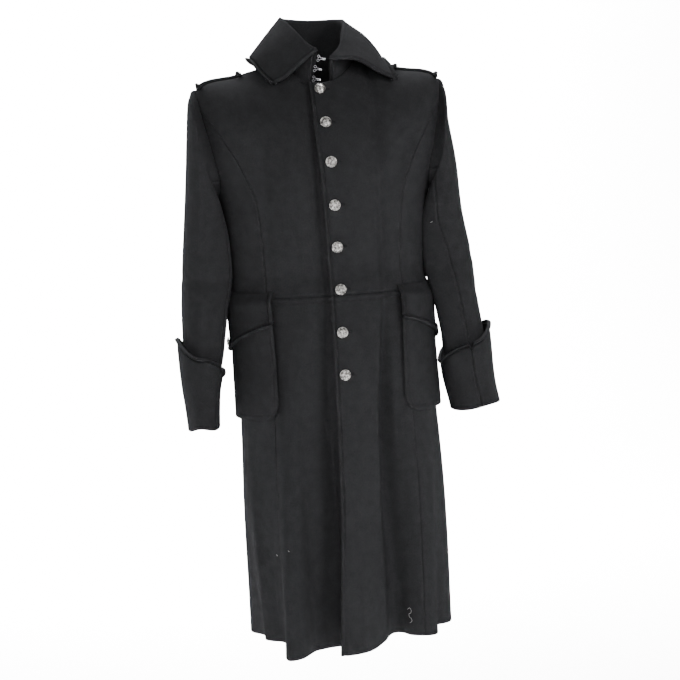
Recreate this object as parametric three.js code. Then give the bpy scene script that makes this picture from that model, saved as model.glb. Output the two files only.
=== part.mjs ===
// A long single-breasted overcoat of heavy black wool, worn on an invisible figure.
// Millimetres. +Z up, the front of the coat faces -Y, +X is the wearer's left.
// The origin lies between the shoulder-neck points, where the figure's shoulders carry the coat.
import * as THREE from 'three';

// ---- cloth and making ----
const CLOTH = 2.2;            // thickness of the wool
const SEAM_GAP = 0.3;         // space left between two pieces at a seam
const NECK_GAP = 1.4;         // the stand's foot stands this far above the neck seam, clear of the lap
const LAP = 0.6;              // space between two layers that lie on each other
const RIGHT_EDGE_X = 20;      // front edge of the right front, underneath
const LAP_LIFT = CLOTH + LAP; // how far the upper front is moved out at the lap

const WOOL = { color: 0x26272b, roughness: 0.95, metalness: 0.0 };
const WOOL_IN = { color: 0x1b1c1f, roughness: 0.95, metalness: 0.0 };
const METAL = { color: 0x9a9a98, roughness: 0.38, metalness: 0.9 };
const WIRE = { color: 0xb9babb, roughness: 0.3, metalness: 1.0 };

// ---- front edge of the left front, which laps over: ring, x ----
const LEFT_EDGE = [
  { ring: 0, x: -25 },
  { ring: 2, x: -22 },
  { ring: 3, x: -18 },
  { ring: 5, x: -13 },
  { ring: 6, x: -12 },
  { ring: 7.5, x: -14 },
  { ring: 9, x: -25 },
];

// ---- body rings, neck to hem: middle, half width, depth in front and behind, height at side, front, back ----
const RINGS = [
  { name: 'neck', cx: 0, a: 72, bf: 78, bb: 60, zs: 2, zf: -44, zb: 20 },
  { name: 'yoke', cx: 0, a: 150, bf: 106, bb: 92, zs: -18, zf: -98, zb: -22 },
  { name: 'shoulder', cx: 0, a: 227, bf: 124, bb: 112, zs: -40, zf: -156, zb: -96 },
  { name: 'chest', cx: 0, a: 229, bf: 131, bb: 118, zs: -142, zf: -212, zb: -168 },
  { name: 'underarm', cx: 0, a: 200, bf: 130, bb: 114, zs: -246, zf: -272, zb: -252 },
  { name: 'waist', cx: 0, a: 186, bf: 120, bb: 100, zs: -372, zf: -372, zb: -372 },
  { name: 'waist_seam', cx: 1, a: 187, bf: 122, bb: 104, zs: -430, zf: -430, zb: -430 },
  { name: 'hip', cx: 4, a: 185, bf: 130, bb: 122, zs: -560, zf: -560, zb: -560 },
  { name: 'thigh', cx: 7, a: 193, bf: 128, bb: 134, zs: -820, zf: -820, zb: -820 },
  { name: 'hem', cx: 8, a: 187, bf: 128, bb: 140, zs: -1086, zf: -1098, zb: -1084 },
];
const SHOULDER = 2;
const UNDERARM = 4;
const WAIST_SEAM = 6;
const HEM = 9;

// ---- skirt folds: place round the coat in degrees, half width in degrees, depth in mm (outward +),
//      sideways lean in mm, ring where the fold starts and ring where it is full ----
const FOLDS = [
  { at: -36, half: 6.5, out: 60, lean: 0, from: 7.3, full: 9.0 },
  { at: -20, half: 8, out: -14, lean: 0, from: 6.4, full: 8.4 },
  { at: -56, half: 9, out: -22, lean: 0, from: 7.0, full: 9.0 },
  { at: 2, half: 12, out: -8, lean: 0, from: 6.8, full: 8.6 },
  { at: 28, half: 18, out: -52, lean: 0, from: 6.3, full: 9.0 },
  { at: 50, half: 10, out: 19, lean: 0, from: 6.6, full: 9.0 },
  { at: 64, half: 9, out: -14, lean: 0, from: 7.3, full: 9.0 },
  { at: 84, half: 10, out: 8, lean: 0, from: 7.4, full: 9.0 },
  { at: 104, half: 10, out: -16, lean: 0, from: 7.4, full: 9.0 },
  { at: 124, half: 10, out: 18, lean: 0, from: 7.2, full: 9.0 },
  { at: 145, half: 11, out: -24, lean: 0, from: 6.8, full: 9.0 },
  { at: 167, half: 11, out: 24, lean: 0, from: 6.8, full: 9.0 },
  { at: -168, half: 10, out: -22, lean: 0, from: 6.8, full: 9.0 },
  { at: -146, half: 11, out: 24, lean: 0, from: 6.8, full: 9.0 },
  { at: -124, half: 10, out: -18, lean: 0, from: 7.2, full: 9.0 },
  { at: -103, half: 10, out: 14, lean: 0, from: 7.4, full: 9.0 },
  { at: -84, half: 8, out: -10, lean: 0, from: 7.4, full: 9.0 },
];
const SWING = 22;             // how far the upper front swings forward of the lower one at the hem

// ---- bodice wrinkles: place in degrees and ring, half sizes, depth in mm, turn in degrees ----
const WRINKLES = [
  { at: -34, ring: 3.3, across: 6, along: 1.1, out: -5 },
  { at: 34, ring: 3.4, across: 6, along: 1.1, out: -5 },
  { at: -20, ring: 5.3, across: 16, along: 0.35, out: -4 },
  { at: 22, ring: 5.2, across: 18, along: 0.35, out: -4 },
  { at: -60, ring: 5.5, across: 14, along: 0.3, out: -4 },
  { at: 62, ring: 5.4, across: 14, along: 0.3, out: -4 },
  { at: 150, ring: 5.2, across: 22, along: 0.4, out: -5 },
  { at: -150, ring: 5.3, across: 22, along: 0.4, out: -5 },
];

// ---- armhole, from the shoulder point down to the underarm: angle in front, angle behind, ring ----
const ARMHOLE = [
  { front: 90, back: 90, ring: 2.0 },
  { front: 76, back: 104, ring: 2.22 },
  { front: 69, back: 114, ring: 2.55 },
  { front: 65, back: 119, ring: 3.0 },
  { front: 66, back: 117, ring: 3.5 },
  { front: 75, back: 107, ring: 3.87 },
  { front: 90, back: 90, ring: 4.0 },
];
const FRONT_PART = 0.22;     // part of the armhole, from the shoulder, where the front panel seam begins
const BACK_PART = 4 / 6;     // part where the back panel seam begins

// ---- panel seams below the armhole: ring, angle of the front seam, angle of the back seam ----
const SEAMS = [
  { ring: 2.3133, front: 73.14, back: 121 },
  { ring: 2.42, front: 64, back: 121 },
  { ring: 2.6, front: 55, back: 121 },
  { ring: 3.0, front: 46, back: 120 },
  { ring: 3.5, front: 43, back: 117 },
  { ring: 4.0, front: 42, back: 124 },
  { ring: 5.0, front: 43, back: 130 },
  { ring: 6.0, front: 43, back: 130 },
  { ring: 7.5, front: 44, back: 130 },
  { ring: 9.0, front: 45, back: 130 },
];

// ---- sleeves: outer edge x and z, inner edge x and z, depth in front and behind, move along y, and how
//      far the inner front wraps round the body ----
const SLEEVE_RIGHT = [
  { xo: 243, zo: -58, xi: 204, zi: -250, df: 74, db: 80, y: 0, wrap: 2 },
  { xo: 250, zo: -112, xi: 205, zi: -256, df: 75, db: 80, y: 0, wrap: 8 },
  { xo: 257, zo: -196, xi: 203, zi: -276, df: 72, db: 76, y: 0, wrap: 14 },
  { xo: 267, zo: -290, xi: 197, zi: -326, df: 66, db: 71, y: 0, wrap: 15 },
  { xo: 276, zo: -374, xi: 196, zi: -392, df: 62, db: 66, y: 0, wrap: 12 },
  { xo: 282, zo: -446, xi: 205, zi: -452, df: 61, db: 63, y: -3, wrap: 5 },
  { xo: 284, zo: -530, xi: 208, zi: -530, df: 61, db: 61, y: -10, wrap: 2 },
  { xo: 285, zo: -598, xi: 216, zi: -598, df: 66, db: 62, y: -18, wrap: 0 },
  { xo: 281, zo: -668, xi: 224, zi: -664, df: 72, db: 64, y: -26, wrap: 0 },
];
const SLEEVE_LEFT = [
  { xo: 239, zo: -58, xi: 204, zi: -250, df: 74, db: 80, y: 0, wrap: 2 },
  { xo: 242, zo: -112, xi: 205, zi: -256, df: 75, db: 80, y: 0, wrap: 8 },
  { xo: 254, zo: -196, xi: 203, zi: -276, df: 72, db: 76, y: 0, wrap: 14 },
  { xo: 262, zo: -290, xi: 197, zi: -326, df: 66, db: 71, y: 0, wrap: 15 },
  { xo: 276, zo: -374, xi: 196, zi: -392, df: 62, db: 66, y: 0, wrap: 12 },
  { xo: 282, zo: -446, xi: 205, zi: -456, df: 61, db: 63, y: -4, wrap: 5 },
  { xo: 291, zo: -524, xi: 211, zi: -536, df: 60, db: 61, y: -12, wrap: 2 },
  { xo: 299, zo: -592, xi: 213, zi: -606, df: 61, db: 62, y: -20, wrap: 0 },
  { xo: 309, zo: -654, xi: 222, zi: -665, df: 63, db: 64, y: -28, wrap: 0 },
];
const ARMHOLE_GAP = 0.9;      // sideways space between the armhole's edge and the sleeve
const ROPE = 5;               // rise of the roped sleeve head
const SLEEVE_FRONT_SEAM = [   // angle round the sleeve, by ring
  { ring: 0, deg: 128 },
  { ring: 2, deg: 122 },
  { ring: 4, deg: 110 },
  { ring: 5, deg: 99.5 },
  { ring: 6, deg: 95.5 },
  { ring: 7, deg: 92 },
  { ring: 8, deg: 89 },
  { ring: 9, deg: 88 },
];
const SLEEVE_BACK_SEAM = 262;
const ARM_END = 9;            // last sleeve ring, counting the armhole as ring 0

// ---- cuffs: sleeve ring of the top edge at the outer side, front, inner side and back; flare there ----
const CUFF_TOP = { outer: 6.75, front: 7.05, inner: 7.62, back: 7.1 };
const CUFF_FLARE = { outer: 9.5, front: 5.5, inner: 3.0, back: 5.5 };
const CUFF_FOOT = 0.03;       // how far the cuff passes below the sleeve, in rings

// ---- collar, round the neck from the right front end to the left front end: place on the neck seam in
//      degrees, fold x, y, z, the leaf's outer edge x, y, z, and how far the leaf bellies out between ----
const COLLAR = [
  { neck: -13, x: -16, y: -98, z: 13, ex: -94, ey: -78, ez: -41, puff: 2 },
  { neck: -30, x: -26, y: -86, z: 24, ex: -108, ey: -60, ez: -24, puff: 2 },
  { neck: -58, x: -43, y: -52, z: 54, ex: -126, ey: -28, ez: 3, puff: 2 },
  { neck: -90, x: -59, y: 6, z: 81, ex: -130, ey: 12, ez: 9, puff: 2 },
  { neck: -130, x: -48, y: 46, z: 83, ex: -104, ey: 64, ez: 2, puff: 4 },
  { neck: -180, x: 0, y: 63, z: 80, ex: 0, ey: 97, ez: -4, puff: 4 },
  { neck: -230, x: 46, y: 47, z: 78, ex: 104, ey: 64, ez: -2, puff: 5 },
  { neck: -270, x: 56, y: 8, z: 71, ex: 126, ey: 14, ez: 0, puff: 9 },
  { neck: -300, x: 49, y: -28, z: 50, ex: 131, ey: -15, ez: -8, puff: 8 },
  { neck: -326, x: 38, y: -64, z: 21, ex: 138, ey: -45, ez: -23, puff: 7 },
  { neck: -348, x: 17, y: -95, z: -5, ex: 142, ey: -68, ez: -39, puff: 7 },
];

const FOLD_GAP = 0.45;        // space between the top of the stand and the leaf

// ---- pockets on the hips and their flaps ----
const POCKET = { front: 39, back: 141, top: 6.12, foot: 7.41, stand: 4.4, seat: 1.0 };
const FLAP_OUT = CLOTH * 2 + POCKET.seat + POCKET.stand + 3 * SEAM_GAP;
const FLAP = { front: 38, back: 142, top: -419, cornerDrop: 62, pointDrop: 112 };

// ---- shoulder straps and their keepers ----
const STRAP = { half: 22, from: 0.92, to: 1.98, off: LAP };
const KEEPERS = [{ ring: 0.98, name: 'inner', off: 0.65 }, { ring: 1.9, name: 'outer', off: 0.05 }];
const KEEPER = { half: 27, length: 7, thick: 2.6 };

// ---- buttons: size, the place of each centre down the front, and its height off the cloth ----
const BUTTON_R = 10;
const BUTTON_H = 5;
const BUTTONS = [
  { x: -5, z: -57, seat: 0.2 },
  { x: -1, z: -118, seat: -0.1 },
  { x: 3, z: -189, seat: 0.2 },
  { x: 5, z: -266, seat: 0.2 },
  { x: 6, z: -342, seat: 0.2 },
  { x: 8, z: -420, seat: 0.2 },
  { x: 6, z: -498, seat: 0.3 },
  { x: 6, z: -575, seat: 0.5 },
];

// ---- collar hooks ----
const HOOK_WIRE = 0.8;        // radius of the wire
const HOOKS = [{ part: 0.80 }, { part: 0.50 }, { part: 0.24 }];

// ================= helpers =================
const RAD = Math.PI / 180;
const V = (x, y, z) => new THREE.Vector3(x, y, z);
const mix = (p, q, f) => p + (q - p) * f;
const clamp01 = (f) => Math.min(1, Math.max(0, f));
const smooth = (f) => {
  const c = clamp01(f);
  return c * c * (3 - 2 * c);
};
const bump = (f) => (Math.abs(f) >= 1 ? 0 : (1 - f * f) ** 2);

// smooth curve through the rows of a table, read at a row number that need not be whole
function along(rows, key, s) {
  const last = rows.length - 1;
  const i = Math.min(last - 1, Math.max(0, Math.floor(s)));
  const f = s - i;
  const p1 = rows[i][key];
  const p2 = rows[i + 1][key];
  const p0 = i > 0 ? rows[i - 1][key] : 2 * p1 - p2;
  const p3 = i + 2 <= last ? rows[i + 2][key] : 2 * p2 - p1;
  const m1 = (p2 - p0) / 2;
  const m2 = (p3 - p1) / 2;
  const f2 = f * f;
  const f3 = f2 * f;
  return (2 * f3 - 3 * f2 + 1) * p1 + (f3 - 2 * f2 + f) * m1 + (3 * f2 - 2 * f3) * p2 + (f3 - f2) * m2;
}

// row number of a table whose column 'ring' rises, for a given ring
function rowAt(rows, ring) {
  let i = 0;
  while (i < rows.length - 2 && rows[i + 1].ring <= ring) {
    i += 1;
  }
  return i + (ring - rows[i].ring) / (rows[i + 1].ring - rows[i].ring);
}

const wrapDeg = (d) => ((((d + 180) % 360) + 360) % 360) - 180;

// a point of the coat's outside, for an angle round the body and a ring
function body(deg, ring) {
  const c = Math.cos(deg * RAD);
  const s = Math.sin(deg * RAD);
  const a = along(RINGS, 'a', ring);
  const cx = along(RINGS, 'cx', ring);
  const depth = c > 0 ? along(RINGS, 'bf', ring) : along(RINGS, 'bb', ring);
  const zs = along(RINGS, 'zs', ring);
  const ze = c > 0 ? along(RINGS, 'zf', ring) : along(RINGS, 'zb', ring);
  let out = 0;
  let lean = 0;
  for (const f of FOLDS) {
    const b = bump(wrapDeg(deg - f.at) / f.half / 1.6);
    const g = clamp01((ring - f.from) / (f.full - f.from)) ** 1.35;
    out += f.out * b * g;
    lean += f.lean * b * g;
  }
  for (const w of WRINKLES) {
    out += w.out * bump(wrapDeg(deg - w.at) / w.across / 1.6) * bump((ring - w.ring) / w.along / 1.6);
  }
  const nx = s * depth;
  const ny = -c * a;
  const l = Math.hypot(nx, ny);
  const x = cx + a * s + (out * nx - lean * ny) / l;
  const y = -depth * c + (out * ny + lean * nx) / l;
  return V(x, y, mix(zs, ze, c * c));
}

// angle at which the ring passes a given x on the front
const degAtX = (x, ring) => Math.asin((x - along(RINGS, 'cx', ring)) / along(RINGS, 'a', ring)) / RAD;
const leftEdge = (ring) => degAtX(along(LEFT_EDGE, 'x', rowAt(LEFT_EDGE, ring)), ring);

function normalOf(f, a, b, sign) {
  const h = 1e-3;
  const da = f(a + h, b).sub(f(a - h, b));
  const db = f(a, b + h).sub(f(a, b - h));
  return da.cross(db).normalize().multiplyScalar(sign);
}

// a point moved out from the coat's outside
function above(deg, ring, off) {
  const n = normalOf(body, deg, ring, 1);
  const p = body(deg, ring);
  if (n.dot(V(p.x, p.y, 60)) < 0) {
    n.negate();
  }
  return p.addScaledVector(n, off);
}

// closed wall: outside given by point(i, j) -> {p, n}; inside lies 'thick' behind it
function wall(name, look, nu, nv, thick, sample, round = false) {
  const pos = [];
  const idx = [];
  const cols = round ? nu : nu + 1;
  for (let side = 0; side < 2; side += 1) {
    for (let j = 0; j <= nv; j += 1) {
      for (let i = 0; i < cols; i += 1) {
        const { p, n } = sample(i / nu, j / nv);
        const q = side ? p.clone().addScaledVector(n, -thick) : p;
        pos.push(q.x, q.y, q.z);
      }
    }
  }
  const at = (side, i, j) => side * (nv + 1) * cols + j * cols + (i % cols);
  const quad = (a, b, c, d) => idx.push(a, b, c, a, c, d);
  for (let j = 0; j < nv; j += 1) {
    for (let i = 0; i < nu; i += 1) {
      quad(at(0, i, j), at(0, i, j + 1), at(0, i + 1, j + 1), at(0, i + 1, j));
      quad(at(1, i, j), at(1, i + 1, j), at(1, i + 1, j + 1), at(1, i, j + 1));
    }
  }
  for (let i = 0; i < nu; i += 1) {
    quad(at(0, i, 0), at(0, i + 1, 0), at(1, i + 1, 0), at(1, i, 0));
    quad(at(0, i, nv), at(1, i, nv), at(1, i + 1, nv), at(0, i + 1, nv));
  }
  if (!round) {
    for (let j = 0; j < nv; j += 1) {
      quad(at(0, 0, j), at(1, 0, j), at(1, 0, j + 1), at(0, 0, j + 1));
      quad(at(0, nu, j), at(0, nu, j + 1), at(1, nu, j + 1), at(1, nu, j));
    }
  }
  return solid(name, look, pos, idx);
}

// signed volume decides which way round the faces go
function solid(name, look, pos, idx) {
  let vol = 0;
  for (let k = 0; k < idx.length; k += 3) {
    const [a, b, c] = [idx[k] * 3, idx[k + 1] * 3, idx[k + 2] * 3];
    vol += pos[a] * (pos[b + 1] * pos[c + 2] - pos[b + 2] * pos[c + 1]);
    vol += pos[a + 1] * (pos[b + 2] * pos[c] - pos[b] * pos[c + 2]);
    vol += pos[a + 2] * (pos[b] * pos[c + 1] - pos[b + 1] * pos[c]);
  }
  if (vol < 0) {
    idx.reverse();
  }
  const g = new THREE.BufferGeometry();
  g.setAttribute('position', new THREE.Float32BufferAttribute(pos, 3));
  g.setIndex(idx);
  g.computeVertexNormals();
  const mesh = new THREE.Mesh(g, new THREE.MeshStandardMaterial(look));
  mesh.name = name;
  return mesh;
}

// sampler for a patch of the body: place(f, s) -> [degrees, ring, height]; edges drawn in by half a seam gap
function onBody(place) {
  const point = (f, s) => {
    const [deg, ring, off] = place(f, s);
    return off ? above(deg, ring, off) : body(deg, ring);
  };
  const edged = patch(point, true);
  return (f, s) => {
    const [deg, ring] = place(f, s);
    return { p: edged(f, s).p, n: above(deg, ring, 1).sub(body(deg, ring)) };
  };
}

// sampler for any smooth patch; 'turn' says whether the outward normal points away from the z axis
function patch(point, turn, inset = SEAM_GAP / 2) {
  return (f, s) => {
    const h = 0.01;
    const fa = clamp01(f - h);
    const fb = clamp01(f + h);
    const sa = clamp01(s - h);
    const sb = clamp01(s + h);
    const p = point(f, s);
    const df = point(fb, s).sub(point(fa, s));
    const ds = point(f, sb).sub(point(f, sa));
    const n = df.clone().cross(ds).normalize();
    const ref = V(p.x, p.y, 40);
    if ((n.dot(ref) < 0) === turn) {
      n.negate();
    }
    if (inset) {
      const inF = f < 1e-6 ? 1 : f > 1 - 1e-6 ? -1 : 0;
      const inS = s < 1e-6 ? 1 : s > 1 - 1e-6 ? -1 : 0;
      p.addScaledVector(df.normalize(), inset * inF).addScaledVector(ds.normalize(), inset * inS);
    }
    return { p, n };
  };
}

// ================= body panels =================
const K_SHOULDER = 5;
const K_FRONT_ARM = 3;
const K_BACK_ARM = 6;
const K_BELOW = 12;
const K_SKIRT = 16;

const armFront = (part) => {
  const s = part * (ARMHOLE.length - 1);
  return [along(ARMHOLE, 'front', s), along(ARMHOLE, 'ring', s)];
};
const armBack = (part) => {
  const s = part * (ARMHOLE.length - 1);
  return [along(ARMHOLE, 'back', s), along(ARMHOLE, 'ring', s)];
};
const seamFront = (ring) => along(SEAMS, 'front', rowAt(SEAMS, ring));
const seamBack = (ring) => along(SEAMS, 'back', rowAt(SEAMS, ring));

// limit of a panel for row j of its rows: down the shoulder seam, round the armhole, down the panel seam
function limit(j, kArm, arm, part, seam) {
  if (j <= K_SHOULDER) {
    return [90, (j / K_SHOULDER) * SHOULDER];
  }
  if (j <= K_SHOULDER + kArm) {
    return arm(((j - K_SHOULDER) / kArm) * part);
  }
  const ring0 = arm(part)[1];
  const ring = mix(ring0, WAIST_SEAM, (j - K_SHOULDER - kArm) / K_BELOW);
  return [seam(ring), ring];
}

function smoothLimit(row, kArm, arm, part, seam) {
  const j = Math.floor(row);
  const a = limit(j, kArm, arm, part, seam);
  if (row === j) {
    return a;
  }
  const b = limit(j + 1, kArm, arm, part, seam);
  return [mix(a[0], b[0], row - j), mix(a[1], b[1], row - j)];
}

// height of the upper front over the lower one: full up to x LAP_FULL, none past x LAP_FADE;
// the swing of the open skirt reaches further across
const LAP_FULL = 50;
const LAP_FADE = 95;
const SWING_FULL = -25;
const SWING_FADE = 60;
const swing = (ring) => SWING * clamp01((ring - WAIST_SEAM) / (HEM - WAIST_SEAM)) ** 1.6;
const fadeOver = (x, full, none) => smooth((none - x) / (none - full));
const lapLift = (x, ring) => {
  return LAP_LIFT * fadeOver(x, LAP_FULL, LAP_FADE) + swing(ring) * fadeOver(x, SWING_FULL, SWING_FADE);
};

function frontBodice(side) {
  const rows = K_SHOULDER + K_FRONT_ARM + K_BELOW;
  const place = (f, s) => {
    const [deg, ring] = smoothLimit(s * rows, K_FRONT_ARM, armFront, FRONT_PART, seamFront);
    const start = side > 0 ? leftEdge(ring) : -degAtX(RIGHT_EDGE_X, ring);
    const d = mix(start, deg, f);
    const x = along(RINGS, 'a', ring) * Math.sin(d * RAD);
    return [d * side, ring, side > 0 ? lapLift(x, ring) : 0];
  };
  return wall(side > 0 ? 'front_left' : 'front_right', WOOL, 8, rows, CLOTH, onBody(place));
}

function backBodice() {
  const rows = K_SHOULDER + K_BACK_ARM + K_BELOW;
  const place = (f, s) => {
    const [deg, ring] = smoothLimit(s * rows, K_BACK_ARM, armBack, BACK_PART, seamBack);
    return [mix(deg, 360 - deg, f), ring, 0];
  };
  return wall('back_bodice', WOOL, 12, rows, CLOTH, onBody(place));
}

// the side panel hangs from the armhole between the two panel seams
function sideTop(f) {
  const down = 1 - FRONT_PART;
  const up = 1 - BACK_PART;
  const split = down / (down + up);
  if (f <= split) {
    return armFront(mix(FRONT_PART, 1, f / split));
  }
  return armBack(mix(1, BACK_PART, (f - split) / (1 - split)));
}

// each point is the sum of its places between both pairs of edges, less its place between the corners
function sideBodice(side) {
  const [firstFront, firstBack] = [sideTop(0), sideTop(1)];
  const seam = (first, deg, s) => {
    const ring = mix(first[1], WAIST_SEAM, s);
    return [deg(ring), ring];
  };
  const place = (f, s) => {
    const high = sideTop(f);
    const fore = seam(firstFront, seamFront, s);
    const aft = seam(firstBack, seamBack, s);
    const at = (k) => {
      const corners = (1 - s) * mix(firstFront[k], firstBack[k], f);
      return (1 - s) * high[k] + mix(fore[k], aft[k], f) - corners;
    };
    return [at(0) * side, at(1), 0];
  };
  return wall(side > 0 ? 'side_bodice_left' : 'side_bodice_right', WOOL, 8, K_BELOW, CLOTH, onBody(place));
}

// ================= skirt panels =================
const skirtRing = (s) => mix(WAIST_SEAM, HEM, s);

function skirtPanel(name, nu, from, to, lift) {
  const place = (f, s) => {
    const ring = skirtRing(s);
    const d = mix(from(ring), to(ring), f);
    const x = along(RINGS, 'a', ring) * Math.sin(d * RAD);
    return [d, ring, lift ? lapLift(x, ring) : 0];
  };
  return wall(name, WOOL, nu, K_SKIRT, CLOTH, onBody(place));
}

// ================= sleeves =================
const ROPE_UP = { x: 0.45, y: -0.25, z: 0.85 };                   // way the roped head stands up
const ROPE_REACH = 0.35;                                          // how far past the side the rope runs
const ELBOW_CREASE = { ring: 5.1, half: 0.5, deep: 3.2, from: 20, inward: 0.4 };

// point of a sleeve: angle round it (0 outer side, 90 front, 180 inner side), ring along it
function sleevePoint(side, deg, ring) {
  const rows = side > 0 ? SLEEVE_LEFT : SLEEVE_RIGHT;
  const turn = ((deg % 360) + 360) % 360;
  const part = turn <= 180 ? turn / 180 : (360 - turn) / 180;
  const [ad, ar] = turn <= 180 ? armFront(part) : armBack(part);
  const start = body(ad, ar).add(V(ARMHOLE_GAP, 0, 0));
  const tube = (s) => {
    const xo = along(rows, 'xo', s);
    const xi = along(rows, 'xi', s);
    const zo = along(rows, 'zo', s);
    const zi = along(rows, 'zi', s);
    const c = Math.cos(turn * RAD);
    const n = Math.sin(turn * RAD);
    const depth = n > 0 ? along(rows, 'df', s) : along(rows, 'db', s);
    const wrapped = along(rows, 'wrap', s) * (2 * clamp01(-c) * clamp01(n)) ** 2;
    const x = (xo + xi) / 2 + ((xo - xi) / 2) * c - wrapped;
    const z = (zo + zi) / 2 + ((zo - zi) / 2) * c;
    return V(x, along(rows, 'y', s) - depth * n, z);
  };
  let p;
  if (ring >= 1) {
    p = tube(ring - 1);
  } else {
    const first = tube(0);
    p = start.lerp(first, ring);
    const up = V(ROPE_UP.x, ROPE_UP.y * Math.sin(turn * RAD), ROPE_UP.z).normalize();
    p.addScaledVector(up, ROPE * Math.sin(Math.PI * clamp01(ring)) * clamp01(Math.cos(turn * RAD) + ROPE_REACH));
  }
  const fold = ELBOW_CREASE;
  const crease = fold.deep * bump((ring - fold.ring) / fold.half) * clamp01(Math.sin((turn - fold.from) * RAD));
  p.x -= crease * fold.inward;
  p.y += crease;
  return V(p.x * side, p.y, p.z);
}

const sleeveSeamFront = (ring) => along(SLEEVE_FRONT_SEAM, 'deg', rowAt(SLEEVE_FRONT_SEAM, ring));
const sleeveSeamBack = () => SLEEVE_BACK_SEAM;

// from and to give the angle of the two long edges at a ring
function sleeveSampler(side, from, to, ring0, ring1) {
  const point = (f, s) => {
    const ring = mix(ring0, ring1, s);
    return sleevePoint(side, mix(from(ring), to(ring), f), ring);
  };
  return (f, s) => {
    const h = 0.004;
    const sa = clamp01(s - h);
    const sb = clamp01(s + h);
    const p = point(f, s);
    const df = point(f + h, s).sub(point(f - h, s));
    const ds = point(f, sb).sub(point(f, sa));
    const n = df.clone().cross(ds).normalize();
    const mid = sleevePoint(side, 0, mix(ring0, ring1, s)).add(sleevePoint(side, 180, mix(ring0, ring1, s)));
    if (n.dot(p.clone().addScaledVector(mid, -0.5)) < 0) {
      n.negate();
    }
    const inF = f < 1e-6 ? 1 : f > 1 - 1e-6 ? -1 : 0;
    p.addScaledVector(df.normalize(), (SEAM_GAP / 2) * inF);
    return { p, n };
  };
}

const HEAD_GAP = 0.05;       // start of the sleeve cloth, in rings, just off the armhole
const K_SLEEVE = 16;

function sleeve(side) {
  const w = side > 0 ? 'left' : 'right';
  const top = sleeveSampler(side, () => SLEEVE_BACK_SEAM - 360, sleeveSeamFront, HEAD_GAP, ARM_END);
  const under = sleeveSampler(side, sleeveSeamFront, sleeveSeamBack, HEAD_GAP, ARM_END);
  return [
    wall(`sleeve_top_${w}`, WOOL, 11, K_SLEEVE, CLOTH, top),
    wall(`sleeve_under_${w}`, WOOL, 9, K_SLEEVE, CLOTH, under),
  ];
}

// value round the sleeve from its four sides
function round4(q, deg) {
  const c = Math.cos(deg * RAD);
  const n = Math.sin(deg * RAD);
  const fore = n > 0 ? q.front : q.back;
  const end = c > 0 ? q.outer : q.inner;
  return end * c * c + fore * n * n;
}

function cuff(side) {
  const sample = (f, s) => {
    const deg = f * 360;
    const topRing = round4(CUFF_TOP, deg);
    const ring = mix(topRing, ARM_END + CUFF_FOOT, s);
    const base = sleeveSampler(side, () => deg, () => deg + 10, ring, ring + 0.02)(0.5, 0);
    const off = CLOTH + 2 * LAP + round4(CUFF_FLARE, deg) * (1 - smooth(s * 1.15));
    base.p = sleevePoint(side, deg, ring);
    base.p.addScaledVector(base.n, off);
    return base;
  };
  return wall(side > 0 ? 'cuff_left' : 'cuff_right', WOOL, 20, 5, CLOTH, sample, true);
}

// ================= collar =================
const collarRow = (f) => f * (COLLAR.length - 1);

function neckPoint(f) {
  return body(along(COLLAR, 'neck', collarRow(f)), 0);
}

function foldPoint(f) {
  const r = collarRow(f);
  return V(along(COLLAR, 'x', r), along(COLLAR, 'y', r), along(COLLAR, 'z', r));
}

function leafEdge(f) {
  const r = collarRow(f);
  return V(along(COLLAR, 'ex', r), along(COLLAR, 'ey', r), along(COLLAR, 'ez', r));
}

const COLLAR_MIDDLE_Y = -5;   // middle line of the neck, that the collar faces away from
const STAND_BELLY = 3.5;      // how far the stand bows outwards below its fold
const ROLL = 4.2;             // radius of the leaf's roll over the fold
const ROLL_PART = 0.14;       // part of the leaf's depth that the roll takes
const ROLL_END = Math.PI * 0.62;
const ROLL_SQUASH = 0.7;      // height of the roll to its width
const ROLL_START = 1;         // the roll begins this far out from the fold
const BELLY_OUT = 0.8;
const BELLY_UP = 0.5;

function outFrom(p) {
  return V(p.x, p.y - COLLAR_MIDDLE_Y, 0).normalize();
}

function standPoint(f, s) {
  const a = neckPoint(f).add(V(0, 0, NECK_GAP));
  const b = foldPoint(f);
  const p = a.lerp(b, s);
  return p.addScaledVector(outFrom(p), STAND_BELLY * Math.sin(Math.PI * s) * s);
}

// point of the roll at an angle from the fold
function rollPoint(f, angle) {
  const fold = foldPoint(f);
  const p = fold.clone().addScaledVector(outFrom(fold), ROLL_START + ROLL * (1 - Math.cos(angle)));
  p.z += FOLD_GAP + ROLL * Math.sin(angle) * ROLL_SQUASH;
  return p;
}

function leafPoint(f, s) {
  if (s < ROLL_PART) {
    return rollPoint(f, (s / ROLL_PART) * ROLL_END);
  }
  const q = (s - ROLL_PART) / (1 - ROLL_PART);
  const p = rollPoint(f, ROLL_END).lerp(leafEdge(f), q);
  const belly = Math.sin(Math.PI * q) * along(COLLAR, 'puff', collarRow(f));
  return p.addScaledVector(outFrom(foldPoint(f)), belly * BELLY_OUT).add(V(0, 0, belly * BELLY_UP));
}

function collar() {
  const fix = (point) => (f, s) => {
    const { p, n } = patch(point, true, 0)(f, s);
    const out = outFrom(foldPoint(f)).add(V(0, 0, 0.6));
    return { p, n: n.dot(out) < 0 ? n.negate() : n };
  };
  return [
    wall('collar_stand', WOOL_IN, 26, 3, CLOTH, fix(standPoint)),
    wall('collar_leaf', WOOL, 26, 6, CLOTH, fix(leafPoint)),
  ];
}

// ================= pockets =================
// ring at a height below the waist
function ringAtSide(z) {
  let lo = SHOULDER + 3;
  let hi = HEM;
  while (hi - lo > 1e-5) {
    const mid = (lo + hi) / 2;
    if (along(RINGS, 'zs', mid) > z) {
      lo = mid;
    } else {
      hi = mid;
    }
  }
  return lo;
}

const pocketDeg = (f) => mix(POCKET.front, POCKET.back, f);

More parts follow.
